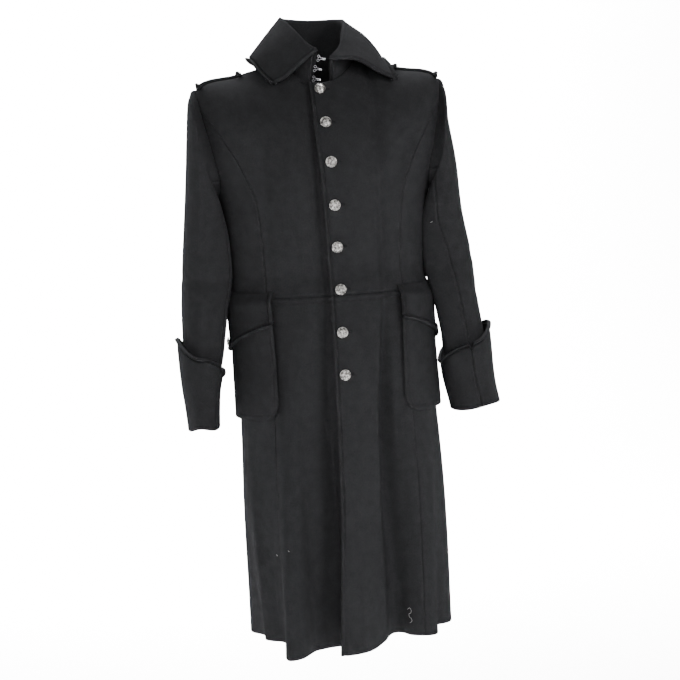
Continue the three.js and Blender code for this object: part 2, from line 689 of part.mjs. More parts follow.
function pocket(side) {
  const place = (f, s) => {
    const rim = Math.min(f, 1 - f, s * 0.6, (1 - s) * 0.6);
    const off = CLOTH + POCKET.seat + POCKET.stand * smooth(rim / 0.05);
    return [pocketDeg(f) * side, mix(POCKET.top, POCKET.foot, s), off];
  };
  return wall(side > 0 ? 'pocket_left' : 'pocket_right', WOOL, 16, 7, CLOTH, onBody(place));
}

function pocketFlap(side) {
  const place = (f, s) => {
    const toPoint = 1 - Math.abs(f - 0.5) * 2;
    const drop = mix(FLAP.cornerDrop, FLAP.pointDrop, toPoint ** 1.15);
    const ring = ringAtSide(FLAP.top - drop * s);
    const hinge = smooth(s * 4);
    const off = mix(CLOTH + LAP, FLAP_OUT, hinge);
    return [mix(FLAP.front, FLAP.back, f) * side, ring, off];
  };
  return wall(side > 0 ? 'pocket_flap_left' : 'pocket_flap_right', WOOL, 14, 4, CLOTH, onBody(place));
}

// ================= shoulder straps =================
const offSide = (y, ring) => Math.asin(y / along(RINGS, y > 0 ? 'bb' : 'bf', ring)) / RAD;

const RING_LENGTH = 77;       // length of the shoulder seam from one ring to the next

function strapStrip(name, side, from, to, half, off, thick, nu, nv) {
  const place = (f, s) => {
    const ring = mix(from, to, s);
    return [(90 + offSide(mix(-half, half, f), ring)) * side, ring, off + thick];
  };
  return wall(name, WOOL, nu, nv, thick, onBody(place));
}

function straps(side) {
  const w = side > 0 ? 'left' : 'right';
  const made = [strapStrip(`shoulder_strap_${w}`, side, STRAP.from, STRAP.to, STRAP.half, STRAP.off, CLOTH, 6, 5)];
  for (const k of KEEPERS) {
    const span = KEEPER.length / RING_LENGTH;
    const name = `strap_keeper_${k.name}_${w}`;
    const off = STRAP.off + CLOTH + k.off;
    made.push(strapStrip(name, side, k.ring - span / 2, k.ring + span / 2, KEEPER.half, off, KEEPER.thick, 6, 1));
  }
  return made;
}

// ================= buttons =================
// half outline of a button: radius, height above its back
const BUTTON_HALF = [
  [0, 0], [7.5, 0], [10, 1.6], [9.6, 3.1], [8.5, 2.9], [5.6, 4.2], [3.0, 4.8], [0, 5],
];

function button(name, at, out) {
  const seg = 12;
  const pos = [];
  const idx = [];
  const n = out.clone().normalize();
  const side = V(0, 0, 1).cross(n).normalize();
  const up = n.clone().cross(side);
  const rows = BUTTON_HALF.slice(1, -1);
  const put = (r, h, ang) => {
    const k = r / 10 * BUTTON_R;
    const q = at.clone().addScaledVector(side, k * Math.cos(ang)).addScaledVector(up, k * Math.sin(ang));
    q.addScaledVector(n, (h / 5) * BUTTON_H);
    pos.push(q.x, q.y, q.z);
  };
  for (const [r, h] of rows) {
    for (let i = 0; i < seg; i += 1) {
      put(r, h, (i / seg) * 2 * Math.PI);
    }
  }
  put(0, 0, 0);
  put(0, 5, 0);
  const low = rows.length * seg;
  for (let i = 0; i < seg; i += 1) {
    const k = (i + 1) % seg;
    for (let j = 0; j < rows.length - 1; j += 1) {
      const [a, b, c, d] = [j * seg + i, j * seg + k, (j + 1) * seg + k, (j + 1) * seg + i];
      idx.push(a, b, c, a, c, d);
    }
    idx.push(low, k, i);
    const t = (rows.length - 1) * seg;
    idx.push(low + 1, t + i, t + k);
  }
  return solid(name, METAL, pos, idx);
}

function frontButtons() {
  return BUTTONS.map(({ x, z, seat }, i) => {
    let ring = 0.2;
    const deg = (r) => degAtX(x, r);
    let step = 4;
    while (step > 1e-4) {
      if (body(deg(ring + step), ring + step).z > z && ring + step < HEM) {
        ring += step;
      }
      step /= 2;
    }
    const lift = lapLift(x, ring) + seat;
    const p = above(deg(ring), ring, lift);
    const q = above(deg(ring), ring, lift + 10);
    return button(`front_button_${i + 1}`, p, q.sub(p));
  });
}

function pocketButton(side) {
  const ring = ringAtSide(FLAP.top - FLAP.pointDrop + 17);
  const off = FLAP_OUT + SEAM_GAP;
  const p = above(90 * side, ring, off);
  const q = above(90 * side, ring, off + 10);
  return button(side > 0 ? 'pocket_button_left' : 'pocket_button_right', p, q.sub(p));
}

// ================= collar hooks =================
// round wire along a list of points, closed at both ends
function wireSolid(name, pts, radius) {
  const sides = 4;
  const pos = [];
  const idx = [];
  let ref = V(0, 1, 0.2).normalize();
  pts.forEach((p, k) => {
    const t = pts[Math.min(k + 1, pts.length - 1)].clone().sub(pts[Math.max(k - 1, 0)]).normalize();
    ref = ref.clone().addScaledVector(t, -ref.dot(t)).normalize();
    const b = t.clone().cross(ref);
    for (let i = 0; i < sides; i += 1) {
      const ang = (i / sides) * 2 * Math.PI;
      const q = p.clone().addScaledVector(ref, radius * Math.cos(ang)).addScaledVector(b, radius * Math.sin(ang));
      pos.push(q.x, q.y, q.z);
    }
  });
  const n = pts.length;
  for (let k = 0; k < n - 1; k += 1) {
    for (let i = 0; i < sides; i += 1) {
      const j = (i + 1) % sides;
      const [a, b, c, d] = [k * sides + i, k * sides + j, (k + 1) * sides + j, (k + 1) * sides + i];
      idx.push(a, b, c, a, c, d);
    }
  }
  for (let i = 1; i < sides - 1; i += 1) {
    idx.push(0, i + 1, i, (n - 1) * sides, (n - 1) * sides + i, (n - 1) * sides + i + 1);
  }
  return solid(name, WIRE, pos, idx);
}

// a dress hook in its own plane: a ring, an arm to the bill and back, a second ring
const HOOK_RING = 2.1;
const HOOK_ARM = 9;
const HOOK_GAP = 1.5;
function hook(name, at, across, up, out) {
  const pts = [];
  const put = (a, b, c) => pts.push(at.clone().addScaledVector(across, a).addScaledVector(up, b).addScaledVector(out, c));
  const ringY = HOOK_GAP + HOOK_RING;
  for (let k = 0; k <= 7; k += 1) {
    const ang = (-60 + k * 43) * RAD;
    put(-HOOK_RING * Math.sin(ang) * 0.9 - 1.5, ringY + HOOK_RING * Math.cos(ang) * -1 + 0.2, -0.2);
  }
  put(2.4, HOOK_GAP, 0.2);
  put(HOOK_ARM - 1.2, HOOK_GAP, 0.4);
  put(HOOK_ARM + 0.8, HOOK_GAP * 0.75, 1.2);
  put(HOOK_ARM + 1.4, 0, 1.5);
  put(HOOK_ARM + 0.8, -HOOK_GAP * 0.75, 1.2);
  put(HOOK_ARM - 1.2, -HOOK_GAP, 0.4);
  put(2.4, -HOOK_GAP, 0.2);
  for (let k = 7; k >= 0; k -= 1) {
    const ang = (-60 + k * 43) * RAD;
    put(-HOOK_RING * Math.sin(ang) * 0.9 - 1.5, -ringY + HOOK_RING * Math.cos(ang) - 0.2, -0.2);
  }
  return wireSolid(name, pts, HOOK_WIRE);
}

function hooks() {
  return HOOKS.map((h, i) => {
    const { p, n } = patch(standPoint, true, 0)(0, h.part);
    const out = V(n.x, n.y, n.z);
    if (out.y > 0) {
      out.negate();
    }
    const across = V(1, 0, -0.12).normalize();
    out.addScaledVector(across, -out.dot(across)).normalize();
    const up = out.clone().cross(across);
    return hook(`collar_hook_${i + 1}`, p.addScaledVector(out, 1.6).addScaledVector(across, 2.5), across, up, out);
  });
}

// ================= the coat =================
const coat = new THREE.Group();
coat.name = 'overcoat';
const add = (...made) => made.flat().forEach((m) => coat.add(m));

add(frontBodice(1), frontBodice(-1), backBodice(), sideBodice(1), sideBodice(-1));
add(skirtPanel('skirt_front_left', 12, leftEdge, seamFront, true));
add(skirtPanel('skirt_front_right', 12, (r) => -seamFront(r), (r) => degAtX(RIGHT_EDGE_X, r), false));
add(skirtPanel('skirt_side_left', 13, seamFront, seamBack, false));
add(skirtPanel('skirt_side_right', 13, (r) => -seamBack(r), (r) => -seamFront(r), false));
add(skirtPanel('skirt_back', 15, seamBack, (r) => 360 - seamBack(r), false));
add(sleeve(1), sleeve(-1), cuff(1), cuff(-1), collar());
add(pocket(1), pocket(-1), pocketFlap(1), pocketFlap(-1));
add(straps(1), straps(-1), frontButtons(), pocketButton(1), pocketButton(-1), hooks());

export default coat;
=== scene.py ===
import bpy
import numpy as np
from mathutils import Matrix, Vector


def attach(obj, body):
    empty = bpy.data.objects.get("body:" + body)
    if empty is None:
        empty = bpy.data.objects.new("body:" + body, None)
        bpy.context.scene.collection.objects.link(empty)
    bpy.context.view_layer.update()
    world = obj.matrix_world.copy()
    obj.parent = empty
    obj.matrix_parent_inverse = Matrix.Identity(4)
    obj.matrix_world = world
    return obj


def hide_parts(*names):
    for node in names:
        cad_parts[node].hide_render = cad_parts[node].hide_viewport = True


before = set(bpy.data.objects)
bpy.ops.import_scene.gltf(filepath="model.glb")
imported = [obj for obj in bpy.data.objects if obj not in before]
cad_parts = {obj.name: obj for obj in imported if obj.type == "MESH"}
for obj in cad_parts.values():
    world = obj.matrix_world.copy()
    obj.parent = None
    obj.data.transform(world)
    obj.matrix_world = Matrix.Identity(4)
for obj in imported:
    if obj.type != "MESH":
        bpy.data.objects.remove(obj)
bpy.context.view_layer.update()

bl_info = {
    "name": "Wool Overcoat",
    "version": (1, 0, 0),
    "blender": (4, 5, 0),
    "location": "View3D > Sidebar > Coat",
    "description": "Makes a long wool overcoat in its worn shape, piece by piece",
    "category": "Add Mesh",
}

MM = 0.001
RAD = np.pi / 180.0
UP = np.array([0, 0, 1.0])
NO_TRIS = np.zeros((0, 3), int)
SIDES = ((1, "left"), (-1, "right"))

# ---------------------------------------------------------------- the cut, in millimetres
# one row per ring from neck to hem: middle x, half width, depth in front, depth behind,
# height at the side, in front and behind
RINGS = np.array([
    [0, 72, 78, 60, 2, -44, 20],
    [0, 150, 106, 92, -18, -98, -22],
    [0, 227, 124, 112, -40, -156, -96],
    [0, 229, 131, 118, -142, -212, -168],
    [0, 200, 130, 114, -246, -272, -252],
    [0, 186, 120, 100, -372, -372, -372],
    [1, 187, 122, 104, -430, -430, -430],
    [4, 185, 130, 122, -560, -560, -560],
    [7, 193, 128, 134, -820, -820, -820],
    [8, 187, 128, 140, -1086, -1098, -1084],
])
SHOULDER, WAIST_SEAM, HEM = 2, 6, 9

# skirt folds: place round the coat in degrees, half width in degrees, depth (outward +), ring where it starts,
# ring where it is full
FOLDS = np.array([
    [-36, 6.5, 60, 7.3, 9.0],
    [-20, 8, -14, 6.4, 8.4],
    [-56, 9, -22, 7.0, 9.0],
    [2, 12, -8, 6.8, 8.6],
    [28, 18, -52, 6.3, 9.0],
    [50, 10, 19, 6.6, 9.0],
    [64, 9, -14, 7.3, 9.0],
    [84, 10, 8, 7.4, 9.0],
    [104, 10, -16, 7.4, 9.0],
    [124, 10, 18, 7.2, 9.0],
    [145, 11, -24, 6.8, 9.0],
    [167, 11, 24, 6.8, 9.0],
    [-168, 10, -22, 6.8, 9.0],
    [-146, 11, 24, 6.8, 9.0],
    [-124, 10, -18, 7.2, 9.0],
    [-103, 10, 14, 7.4, 9.0],
    [-84, 8, -10, 7.4, 9.0],
])

# the lap: how high the upper front lies over the lower, and how far its edge swings forward at the hem; each falls
# off towards the x where it is gone, over a width
LAP = {"high": 2.9, "gone": 95, "width": 45}
SWING = {"high": 22.0, "gone": 60, "width": 85}

# bodice wrinkles: place in degrees, ring, half width in degrees, half height in rings, depth; SPREAD is how many
# half widths the hump of a fold or wrinkle runs out to
SPREAD = 1.6
WRINKLES = np.array([
    [-34, 3.3, 6, 1.1, -5],
    [34, 3.4, 6, 1.1, -5],
    [-20, 5.3, 16, 0.35, -4],
    [22, 5.2, 18, 0.35, -4],
    [-60, 5.5, 14, 0.3, -4],
    [62, 5.4, 14, 0.3, -4],
    [150, 5.2, 22, 0.4, -5],
    [-150, 5.3, 22, 0.4, -5],
])

# soft creases seen from in front (-1) or behind (1): side, panel (0 any, 1 left front, 2 right front), whether it
# runs down or across, then along it x, z, half width and depth
CREASES = (
    (-1, 0, "down", ((-178, -130, 16, 0), (-150, -160, 16, -2.6), (-122, -235, 14, -2.0), (-112, -270, 12, 0))),
    (-1, 0, "down", ((176, -130, 16, 0), (150, -160, 16, -2.6), (120, -240, 14, -2.0), (110, -276, 12, 0))),
    (-1, 0, "across", ((-172, -322, 11, 0), (-150, -330, 11, -2.0), (-60, -352, 10, -1.4), (-36, -356, 10, 0))),
    (-1, 0, "across", ((36, -356, 10, 0), (62, -350, 10, -1.4), (150, -336, 11, -2.0), (172, -328, 11, 0))),
    (-1, 0, "down", ((-100, -90, 18, 0), (-94, -120, 18, -1.8), (-76, -200, 18, -1.2), (-70, -240, 18, 0))),
    (-1, 0, "down", ((100, -90, 18, 0), (94, -116, 18, -1.8), (78, -200, 18, -1.2), (72, -240, 18, 0))),
    (-1, 2, "down", ((-30, -60, 7, -1.5), (-27, -120, 9, -4), (-22, -220, 10, -6), (-19, -330, 10, -6),
                     (-18, -426, 10, -5))),
    (-1, 2, "down", ((-24, -432, 10, -5), (-28, -560, 15, -16), (-32, -700, 19, -25), (-30, -910, 22, -33),
                     (-28, -1100, 24, -36))),
    (-1, 2, "down", ((-66, -434, 16, 1.5), (-84, -560, 19, 6), (-96, -690, 20, 8), (-103, -914, 20, 8),
                     (-106, -1100, 18, 6))),
    (-1, 2, "down", ((-118, -440, 9, -2), (-132, -600, 12, -5), (-142, -760, 14, -5), (-146, -900, 14, 0))),
    (-1, 1, "down", ((93, -432, 8, -6), (88, -540, 9, -17), (84, -640, 11, -25), (83, -816, 13, -26),
                     (86, -930, 14, -20), (89, -1100, 15, -16))),
    (-1, 1, "down", ((52, -440, 14, 0), (58, -560, 16, 2.6), (54, -800, 18, 3.0), (50, -1100, 18, 2.0))),
    (-1, 1, "down", ((116, -450, 12, 0), (120, -620, 13, 3.5), (128, -860, 16, 3.5), (134, -1100, 16, 0))),
    (-1, 0, "down", ((158, -600, 10, 0), (161, -700, 11, -3.5), (165, -960, 12, -5), (166, -1100, 12, -5))),
    (-1, 0, "down", ((-158, -640, 12, 0), (-161, -740, 12, -3.5), (-165, -1000, 14, -6), (-166, -1100, 14, -6))),
    (1, 0, "across", ((-90, -290, 16, 0), (-60, -300, 16, -3.0), (40, -330, 16, -2.0), (70, -336, 16, 0))),
    (1, 0, "across", ((-150, -352, 11, 0), (-120, -360, 11, -2.4), (-30, -372, 11, -1.6), (-6, -374, 11, 0))),
    (1, 0, "across", ((6, -370, 11, 0), (30, -366, 11, -1.6), (125, -352, 11, -2.4), (150, -346, 11, 0))),
    (1, 0, "down", ((0, -90, 20, 0), (0, -130, 20, -2.0), (5, -260, 20, -1.4), (6, -320, 20, 0))),
    (1, 0, "down", ((-60, -432, 12, -3), (-66, -600, 16, -7), (-78, -900, 20, -9), (-82, -1100, 22, -9))),
    (1, 0, "down", ((56, -432, 12, -3), (62, -600, 16, -7), (70, -860, 20, -9), (74, -1100, 22, -9))),
)

# armhole from the shoulder point to the underarm: angle in front, angle behind, ring
ARMHOLE = np.array([
    [90, 90, 2.0],
    [76, 104, 2.22],
    [69, 114, 2.55],
    [65, 119, 3.0],
    [66, 117, 3.5],
    [75, 107, 3.87],
    [90, 90, 4.0],
])
# how much of the armhole is the front's, down from the shoulder, and the back's; the side has the rest
FRONT_PART, BACK_PART = 0.22, 4 / 6

# outer line of a front or back: column of its angles, its part of the armhole, and how far down the piece the
# shoulder seam, the armhole and the panel seam begin and end
OUTER = {"front": (0, FRONT_PART, (0, 0.34, 0.50, 1)), "back": (1, BACK_PART, (0, 0.30, 0.62, 1))}

# panel seams: ring, angle of the front seam, angle of the back seam
SEAMS = np.array([
    [2.3133, 73.14, 121],
    [2.42, 64, 121],
    [2.6, 55, 121],
    [3.0, 46, 120],
    [3.5, 43, 117],
    [4.0, 42, 124],
    [5.0, 43, 130],
    [6.0, 43, 130],
    [7.5, 44, 130],
    [9.0, 45, 130],
])

# edge of the left front: ring, x; the right front ends underneath it
LEFT_EDGE = np.array([[0, -25], [2, -22], [3, -18], [5, -13], [6, -12], [7.5, -14], [9, -25]])
RIGHT_EDGE_X = 20.0

# sleeves: outer x and z, inner x and z, depth in front and behind, move along y
SLEEVES = {
    -1: np.array([
        [243, -58, 204, -250, 74, 80, 0],
        [250, -112, 205, -256, 75, 80, 0],
        [257, -196, 203, -276, 72, 76, 0],
        [267, -290, 197, -326, 66, 71, 0],
        [276, -374, 196, -392, 62, 66, 0],
        [282, -446, 205, -452, 61, 63, -3],
        [284, -530, 212, -530, 61, 61, -10],
        [285, -598, 222, -598, 66, 62, -18],
        [281, -668, 227, -664, 72, 64, -26],
    ]),
    1: np.array([
        [239, -58, 204, -250, 74, 80, 0],
        [242, -112, 205, -256, 75, 80, 0],
        [254, -196, 203, -276, 72, 76, 0],
        [262, -290, 197, -326, 66, 71, 0],
        [276, -374, 196, -392, 62, 66, 0],
        [282, -446, 205, -456, 61, 63, -4],
        [291, -524, 211, -536, 60, 61, -12],
        [299, -592, 213, -606, 61, 62, -20],
        [309, -654, 222, -665, 63, 64, -28],
    ]),
}
# how far the inner front of a sleeve wraps round the body, row by row like the table above
SLEEVE_WRAP = {
    -1: np.array([2.0, 9, 16, 21, 22, 19, 12, 5, 2]),
    1: np.array([2.0, 12, 24, 30, 27, 22, 14, 6, 2]),
}
# each sleeve's front seam: ring, angle round the sleeve; its back seam runs at one angle
SLEEVE_FRONT_SEAM = {
    -1: np.array([[0, 128], [2, 130], [4, 131], [6, 130], [9, 129]]),
    1: np.array([[0, 128], [2, 122], [4, 110], [5, 99.5], [6, 95.5], [7, 92], [8, 89], [9, 88]]),
}
SLEEVE_BACK_SEAM = 262.0
WRIST_SEAM = {-1: 129.0, 1: 89.0}
ARM_END = 9.0
# how far a sleeve starts inside the armhole, how high its roped head stands, how deep the crease at the elbow is
SLEEVE_TUCK, ROPE, ELBOW_CREASE = 2.6, 5.0, -3.2
# where each sleeve's hem is drawn up: angle, part of a ring
HEM_RISE = {-1: (75.0, 0.10), 1: (70.0, 0.05)}

# sleeve creases: side, angle round the sleeve, ring, half angle, half length in rings, turn, depth
SLEEVE_CREASES = np.array([
    [-1, 70, 5.2, 70, 0.16, 0.0, -2.4],
    [-1, 60, 5.75, 60, 0.15, 0.1, -2.0],
    [-1, 80, 4.5, 50, 0.16, -0.2, -1.8],
    [-1, 60, 1.4, 12, 1.2, 0.0, -3.0],
    [-1, 95, 2.4, 10, 1.4, 0.1, -2.6],
    [1, 70, 5.0, 70, 0.16, 0.0, -2.2],
    [1, 60, 5.9, 60, 0.15, -0.1, -2.0],
    [1, 95, 4.0, 50, 0.17, 0.2, -1.8],
    [1, 62, 1.4, 12, 1.2, 0.0, -3.0],
    [1, 90, 2.6, 10, 1.6, 0.1, -2.4],
    [-1, 285, 5.0, 60, 0.3, 0.0, -2.5],
    [1, 285, 5.0, 60, 0.3, 0.0, -2.5],
])

# cuffs: ring of the top edge, and flare there, at the outer side, front, inner side and back; gap to the sleeve;
# half the angle at which the cuff stands open at its seam
CUFF_TOP = {-1: (6.62, 7.05, 7.62, 7.05), 1: (6.75, 7.12, 7.55, 7.1)}
CUFF_FLARE = {-1: (7.5, 4.5, 0.6, 3.5), 1: (9.5, 5.5, 3.0, 5.5)}
CUFF_GAP = 3.4
CUFF_OPEN = 0.4

# collar from the right front end round to the left: place on the neck seam in degrees, fold x, y, z,
# outer edge x, y, z, belly of the leaf, drop of the leaf at one third and at two thirds of its depth
COLLAR = np.array([
    [-13, -8, -99, 11, -92, -80, -42, 3, -4, -8],
    [-30, -24, -87, 24, -107, -60, -26, 3, -3, -4],
    [-58, -43, -52, 54, -126, -28, 3, 2, 0, 0],
    [-90, -59, 6, 81, -130, 12, 9, 2, 0, 0],
    [-130, -48, 46, 83, -104, 64, 2, 4, 0, 0],
    [-180, 0, 63, 80, 0, 97, -4, 4, 0, 0],
    [-230, 46, 47, 78, 104, 64, -2, 5, 0, 0],
    [-270, 56, 8, 71, 126, 14, 0, 9, 0, 0],
    [-300, 49, -28, 50, 131, -15, -8, 8, 0, 0],
    [-326, 38, -64, 21, 138, -45, -23, 6, 2, -2],
    [-348, 15, -96, -4, 142, -70, -44, 6, 10, 1],
])

# how far the stand's foot sits under the neck seam, and how far inside it; the stand's part of the collar's strip,
# and where its fold lies
STAND_FOOT = (4.0, 3.0)
STAND_PART, FOLD_AT = 0.33, 0.36

# pockets: angle of the front and back edge, ring of top and foot, width, height and radius of the lower corners;
# flaps: angles, height of the top edge, depth at the corners and at the point, height off the coat there and below
POCKET = {"front": 39.0, "back": 141.0, "top": 6.12, "foot": 7.41, "wide": 268.0, "tall": 240.0, "corner": 26.0}
FLAP = {"front": 38.0, "back": 142.0, "top": -419.0, "corner": 62.0, "point": 112.0, "hinge": 2.8, "lift": 12.4}

# front buttons: x, z, height off the cloth
BUTTONS = np.array([
    [-5, -57, 0.4],
    [-1, -118, 0.4],
    [3, -189, 0.4],
    [5, -266, 0.4],
    [6, -342, 0.4],
    [8, -420, 0.4],
    [6, -498, 0.4],
    [6, -575, 0.6],
])

# lint on the skirt and on the left sleeve: angle, ring, length; a loose thread that hangs in an S: angle, ring
LINT = ((-49.5, 8.35, 3.4), (-35.2, 8.275, 2.0))
SLEEVE_LINT = (118.0, 3.889, 3.0)
THREAD = np.array([
    [37.6, 8.815], [38.6, 8.80], [39.5, 8.815], [39.3, 8.835], [38.4, 8.845], [38.6, 8.865], [39.5, 8.875],
    [39.8, 8.895], [38.8, 8.91],
])

# collar hooks: height up the stand's front edge, as a part of it, and where they sit from there (x, y, z)
HOOKS = ((0.86, (4.0, -2.2, -4.5)), (0.55, (0.8, -2.2, -4.5)), (0.24, (1.0, -2.2, -4.5)))

# shoulder straps: first and last ring, half width, height off the coat, thickness; keepers: name and middle ring,
# half their length in rings, half width, height, thickness
STRAP = {"rings": (0.92, 1.98), "half": 22, "high": 2.8, "thick": 2.1}
KEEPERS = (("inner", 0.98), ("outer", 1.9))
KEEPER = {"long": 0.045, "half": 27, "high": 5.6, "thick": 2.4}

# radius of the lint and of the loose thread
LINT_SIZE, THREAD_SIZE = 0.42, 0.36

# stage: half width, front, start of the bend, its radius, height of the back and of the floor, in metres
SWEEP = {"half": 9.0, "front": -9.0, "bend": 3.0, "radius": 2.0, "high": 7.0, "floor": -1.45}

# lamps: name, place, what it points at, size (metres) and power (watts)
LAMPS = (
    ("Key", (2.5, -3.0, 1.0), (0, 0, -0.5), 1.1, 128),
    ("Fill", (-0.7, -3.4, 0.2), (0, 0, -0.6), 2.2, 96),
    ("Sweep wash", (0, 1.6, 2.6), (0, 5.0, 0.0), 3.5, 4200),
)


# ---------------------------------------------------------------- sizes and colours
class CoatSizes(bpy.types.PropertyGroup):
    """Sizes and colours of the coat that a maker would change"""

    cloth: bpy.props.FloatProperty(
        name="Cloth", description="Thickness of the wool", default=0.0022, unit="LENGTH")
    step: bpy.props.FloatProperty(
        name="Mesh step", description="Distance between mesh lines on plain cloth",
        default=0.0046, unit="LENGTH")
    ridge: bpy.props.FloatProperty(
        name="Edge ridge", description="Height of the rolled edge over the stitch line",
        default=0.0017, unit="LENGTH")
    stitch: bpy.props.FloatProperty(
        name="Stitch", description="Length of one stitch and its space", default=0.0036, unit="LENGTH")
    button: bpy.props.FloatProperty(
        name="Button", description="Radius of a button", default=0.0102, unit="LENGTH")
    wool: bpy.props.FloatVectorProperty(
        name="Wool", description="Colour of the wool", subtype="COLOR", size=3,
        default=(0.0146, 0.0148, 0.0157), min=0.0, max=1.0)
    metal: bpy.props.FloatVectorProperty(
        name="Buttons", description="Colour of the button metal", subtype="COLOR", size=3,
        default=(0.27, 0.262, 0.25), min=0.0, max=1.0)


# ---------------------------------------------------------------- curves and surfaces
def glide(p0, p1, p2, p3, t):
    """A point between the middle two of four points in a row, on a smooth curve through them (Catmull-Rom)."""
    m1, m2 = (p2 - p0) / 2, (p3 - p1) / 2
    return ((2 * t**3 - 3 * t**2 + 1) * p1 + (t**3 - 2 * t**2 + t) * m1
            + (3 * t**2 - 2 * t**3) * p2 + (t**3 - t**2) * m2)


def curve(table, at):
    """Reads a table at row numbers that need not be whole, on a smooth curve through its rows (see glide)."""
    at = np.asarray(at, float)
    rows = np.vstack([2 * table[0] - table[1], table, 2 * table[-1] - table[-2]])
    i = np.clip(np.floor(at).astype(int), 0, len(table) - 2)
    return glide(rows[i], rows[i + 1], rows[i + 2], rows[i + 3], (at - i)[..., None])


def along(table, count):
    """A table's smooth curve from end to end, read at the given number of places."""
    return curve(table, np.linspace(0, len(table) - 1, count))


def by_ring(table, ring, column):
    """Reads one column of a table whose first column is the ring."""
    row = np.interp(ring, table[:, 0], np.arange(len(table)))
    return curve(table, row)[..., column]


def bump(x):
    """A smooth hump: (1 - x^2)^2 inside plus and minus one, nothing outside."""
    return np.where(np.abs(x) < 1, (1 - x**2) ** 2, 0.0)


def bell(x):
    """A bell: one in the middle, nearly nothing two widths away."""
    return np.exp(-(x**2))


def smooth(x):
    """Eases from nought to one."""
    x = np.clip(x, 0, 1)
    return x * x * (3 - 2 * x)


def wrap(deg):
    """An angle brought between -180 and 180."""
    return (np.asarray(deg) + 180) % 360 - 180


def ripple(points, size, seed):
    """Soft unevenness from eight sine waves that run in scattered directions at about the given length."""
    rng = np.random.default_rng(seed)
    total = np.zeros(points.shape[:-1])
    for _ in range(8):
        way = rng.normal(size=3)
        way /= np.linalg.norm(way)
        length = size * rng.uniform(0.6, 1.7)
        total += np.sin(points @ way * (2 * np.pi / length) + rng.uniform(0, 6.28))
    return total / 4


def body(deg, ring):
    """A point of the coat's outside: an oval ring at its height, pushed out or in by the folds and wrinkles."""
    deg, ring = np.broadcast_arrays(np.asarray(deg, float), np.asarray(ring, float))
    c, s = np.cos(deg * RAD), np.sin(deg * RAD)
    cx, a, bf, bb, zs, zf, zb = np.moveaxis(curve(RINGS, ring), -1, 0)
    depth, end = np.where(c > 0, bf, bb), np.where(c > 0, zf, zb)
    out = np.zeros_like(c)
    for at, half, far, start, full in FOLDS:
        part = bump(wrap(deg - at) / half / SPREAD) * np.clip((ring - start) / (full - start), 0, 1) ** 1.35
        out += far * part
    for at, mid, across, tall, far in WRINKLES:
        out += far * bump(wrap(deg - at) / across / SPREAD) * bump((ring - mid) / tall / SPREAD)
    nx, ny = s * depth, -c * a
    size = np.hypot(nx, ny)
    return np.stack([cx + a * s + out * nx / size, -depth * c + out * ny / size, zs + (end - zs) * c * c], -1)


def unit(v):
    """Vectors of length one."""
    return v / np.maximum(np.linalg.norm(v, axis=-1, keepdims=True), 1e-12)


def facing(points, away):
    """Normals of a grid of points from its neighbours, turned to the side that 'away' points to."""
    n = unit(np.cross(np.gradient(points, axis=1), np.gradient(points, axis=0)))
    return n * np.sign(np.sum(np.sum(n * away, -1)))


def from_axis(form, lift=40):
    """Away from the coat's middle line."""
    return form * np.array([1, 1, 0]) + UP * lift


def normal_of(point, deg, ring, h, k, away):
    """Normal of a surface of angle and ring, from points a little to each side, turned to the side of 'away'."""
    n = unit(np.cross(point(deg + h, ring) - point(deg - h, ring), point(deg, ring + k) - point(deg, ring - k)))
    return n * np.sign(np.sum(n * away, -1))[..., None]


def body_normal(deg, ring):
    """Outward normal of the coat's outside."""
    return normal_of(body, deg, ring, 0.02, 0.001, from_axis(body(deg, ring), 60))


def above(deg, ring, off):
    """A point moved out from the coat's outside."""
    deg, ring = np.broadcast_arrays(np.asarray(deg, float), np.asarray(ring, float))
    return body(deg, ring) + body_normal(deg, ring) * np.asarray(off)[..., None]


def spot(deg, ring, off):
    """One point off the coat's outside, and the way the coat faces there."""
    deg, ring = np.array([float(deg)]), np.array([float(ring)])
    n = body_normal(deg, ring)[0]
    return body(deg, ring)[0] + n * off, n


def x_at(deg, ring):
    """How far from the middle a ring's point is, at an angle."""
    return curve(RINGS, ring)[..., 1] * np.sin(deg * RAD)


def deg_at(x, ring):
    """Angle at which a ring passes x on the front."""
    rows = curve(RINGS, ring)
    return np.arcsin((x - rows[..., 0]) / rows[..., 1]) / RAD


def left_edge(ring):
    """Angle of the left front's edge."""
    return deg_at(by_ring(LEFT_EDGE, ring, 1), ring)


def lap(x, ring):
    """Height of the upper front over the lower: one cloth at the lap, swinging forward towards the hem."""
    swing = SWING["high"] * np.clip((ring - WAIST_SEAM) / (HEM - WAIST_SEAM), 0, 1) ** 1.6
    return (LAP["high"] * smooth((LAP["gone"] - x) / LAP["width"])
            + swing * smooth((SWING["gone"] - x) / SWING["width"]))


def creases(points, panel=0):
    """Depth of the soft creases: a bell across each line, its place, width and depth read along the line."""
    total = np.zeros(points.shape[:-1])
    for side, which, run, line in CREASES:
        if which in (0, panel):
            a, b = (1, 0) if run == "down" else (0, 1)
            table = np.array(sorted(line, key=lambda row: row[a]), float)
            value = curve(table, np.interp(points[..., 2 * a], table[:, a], np.arange(len(table))))
            gap = (points[..., 2 * b] - value[..., b]) / value[..., 2]
            total += value[..., 3] * bell(gap) * smooth(points[..., 1] * side / 25)
    return total


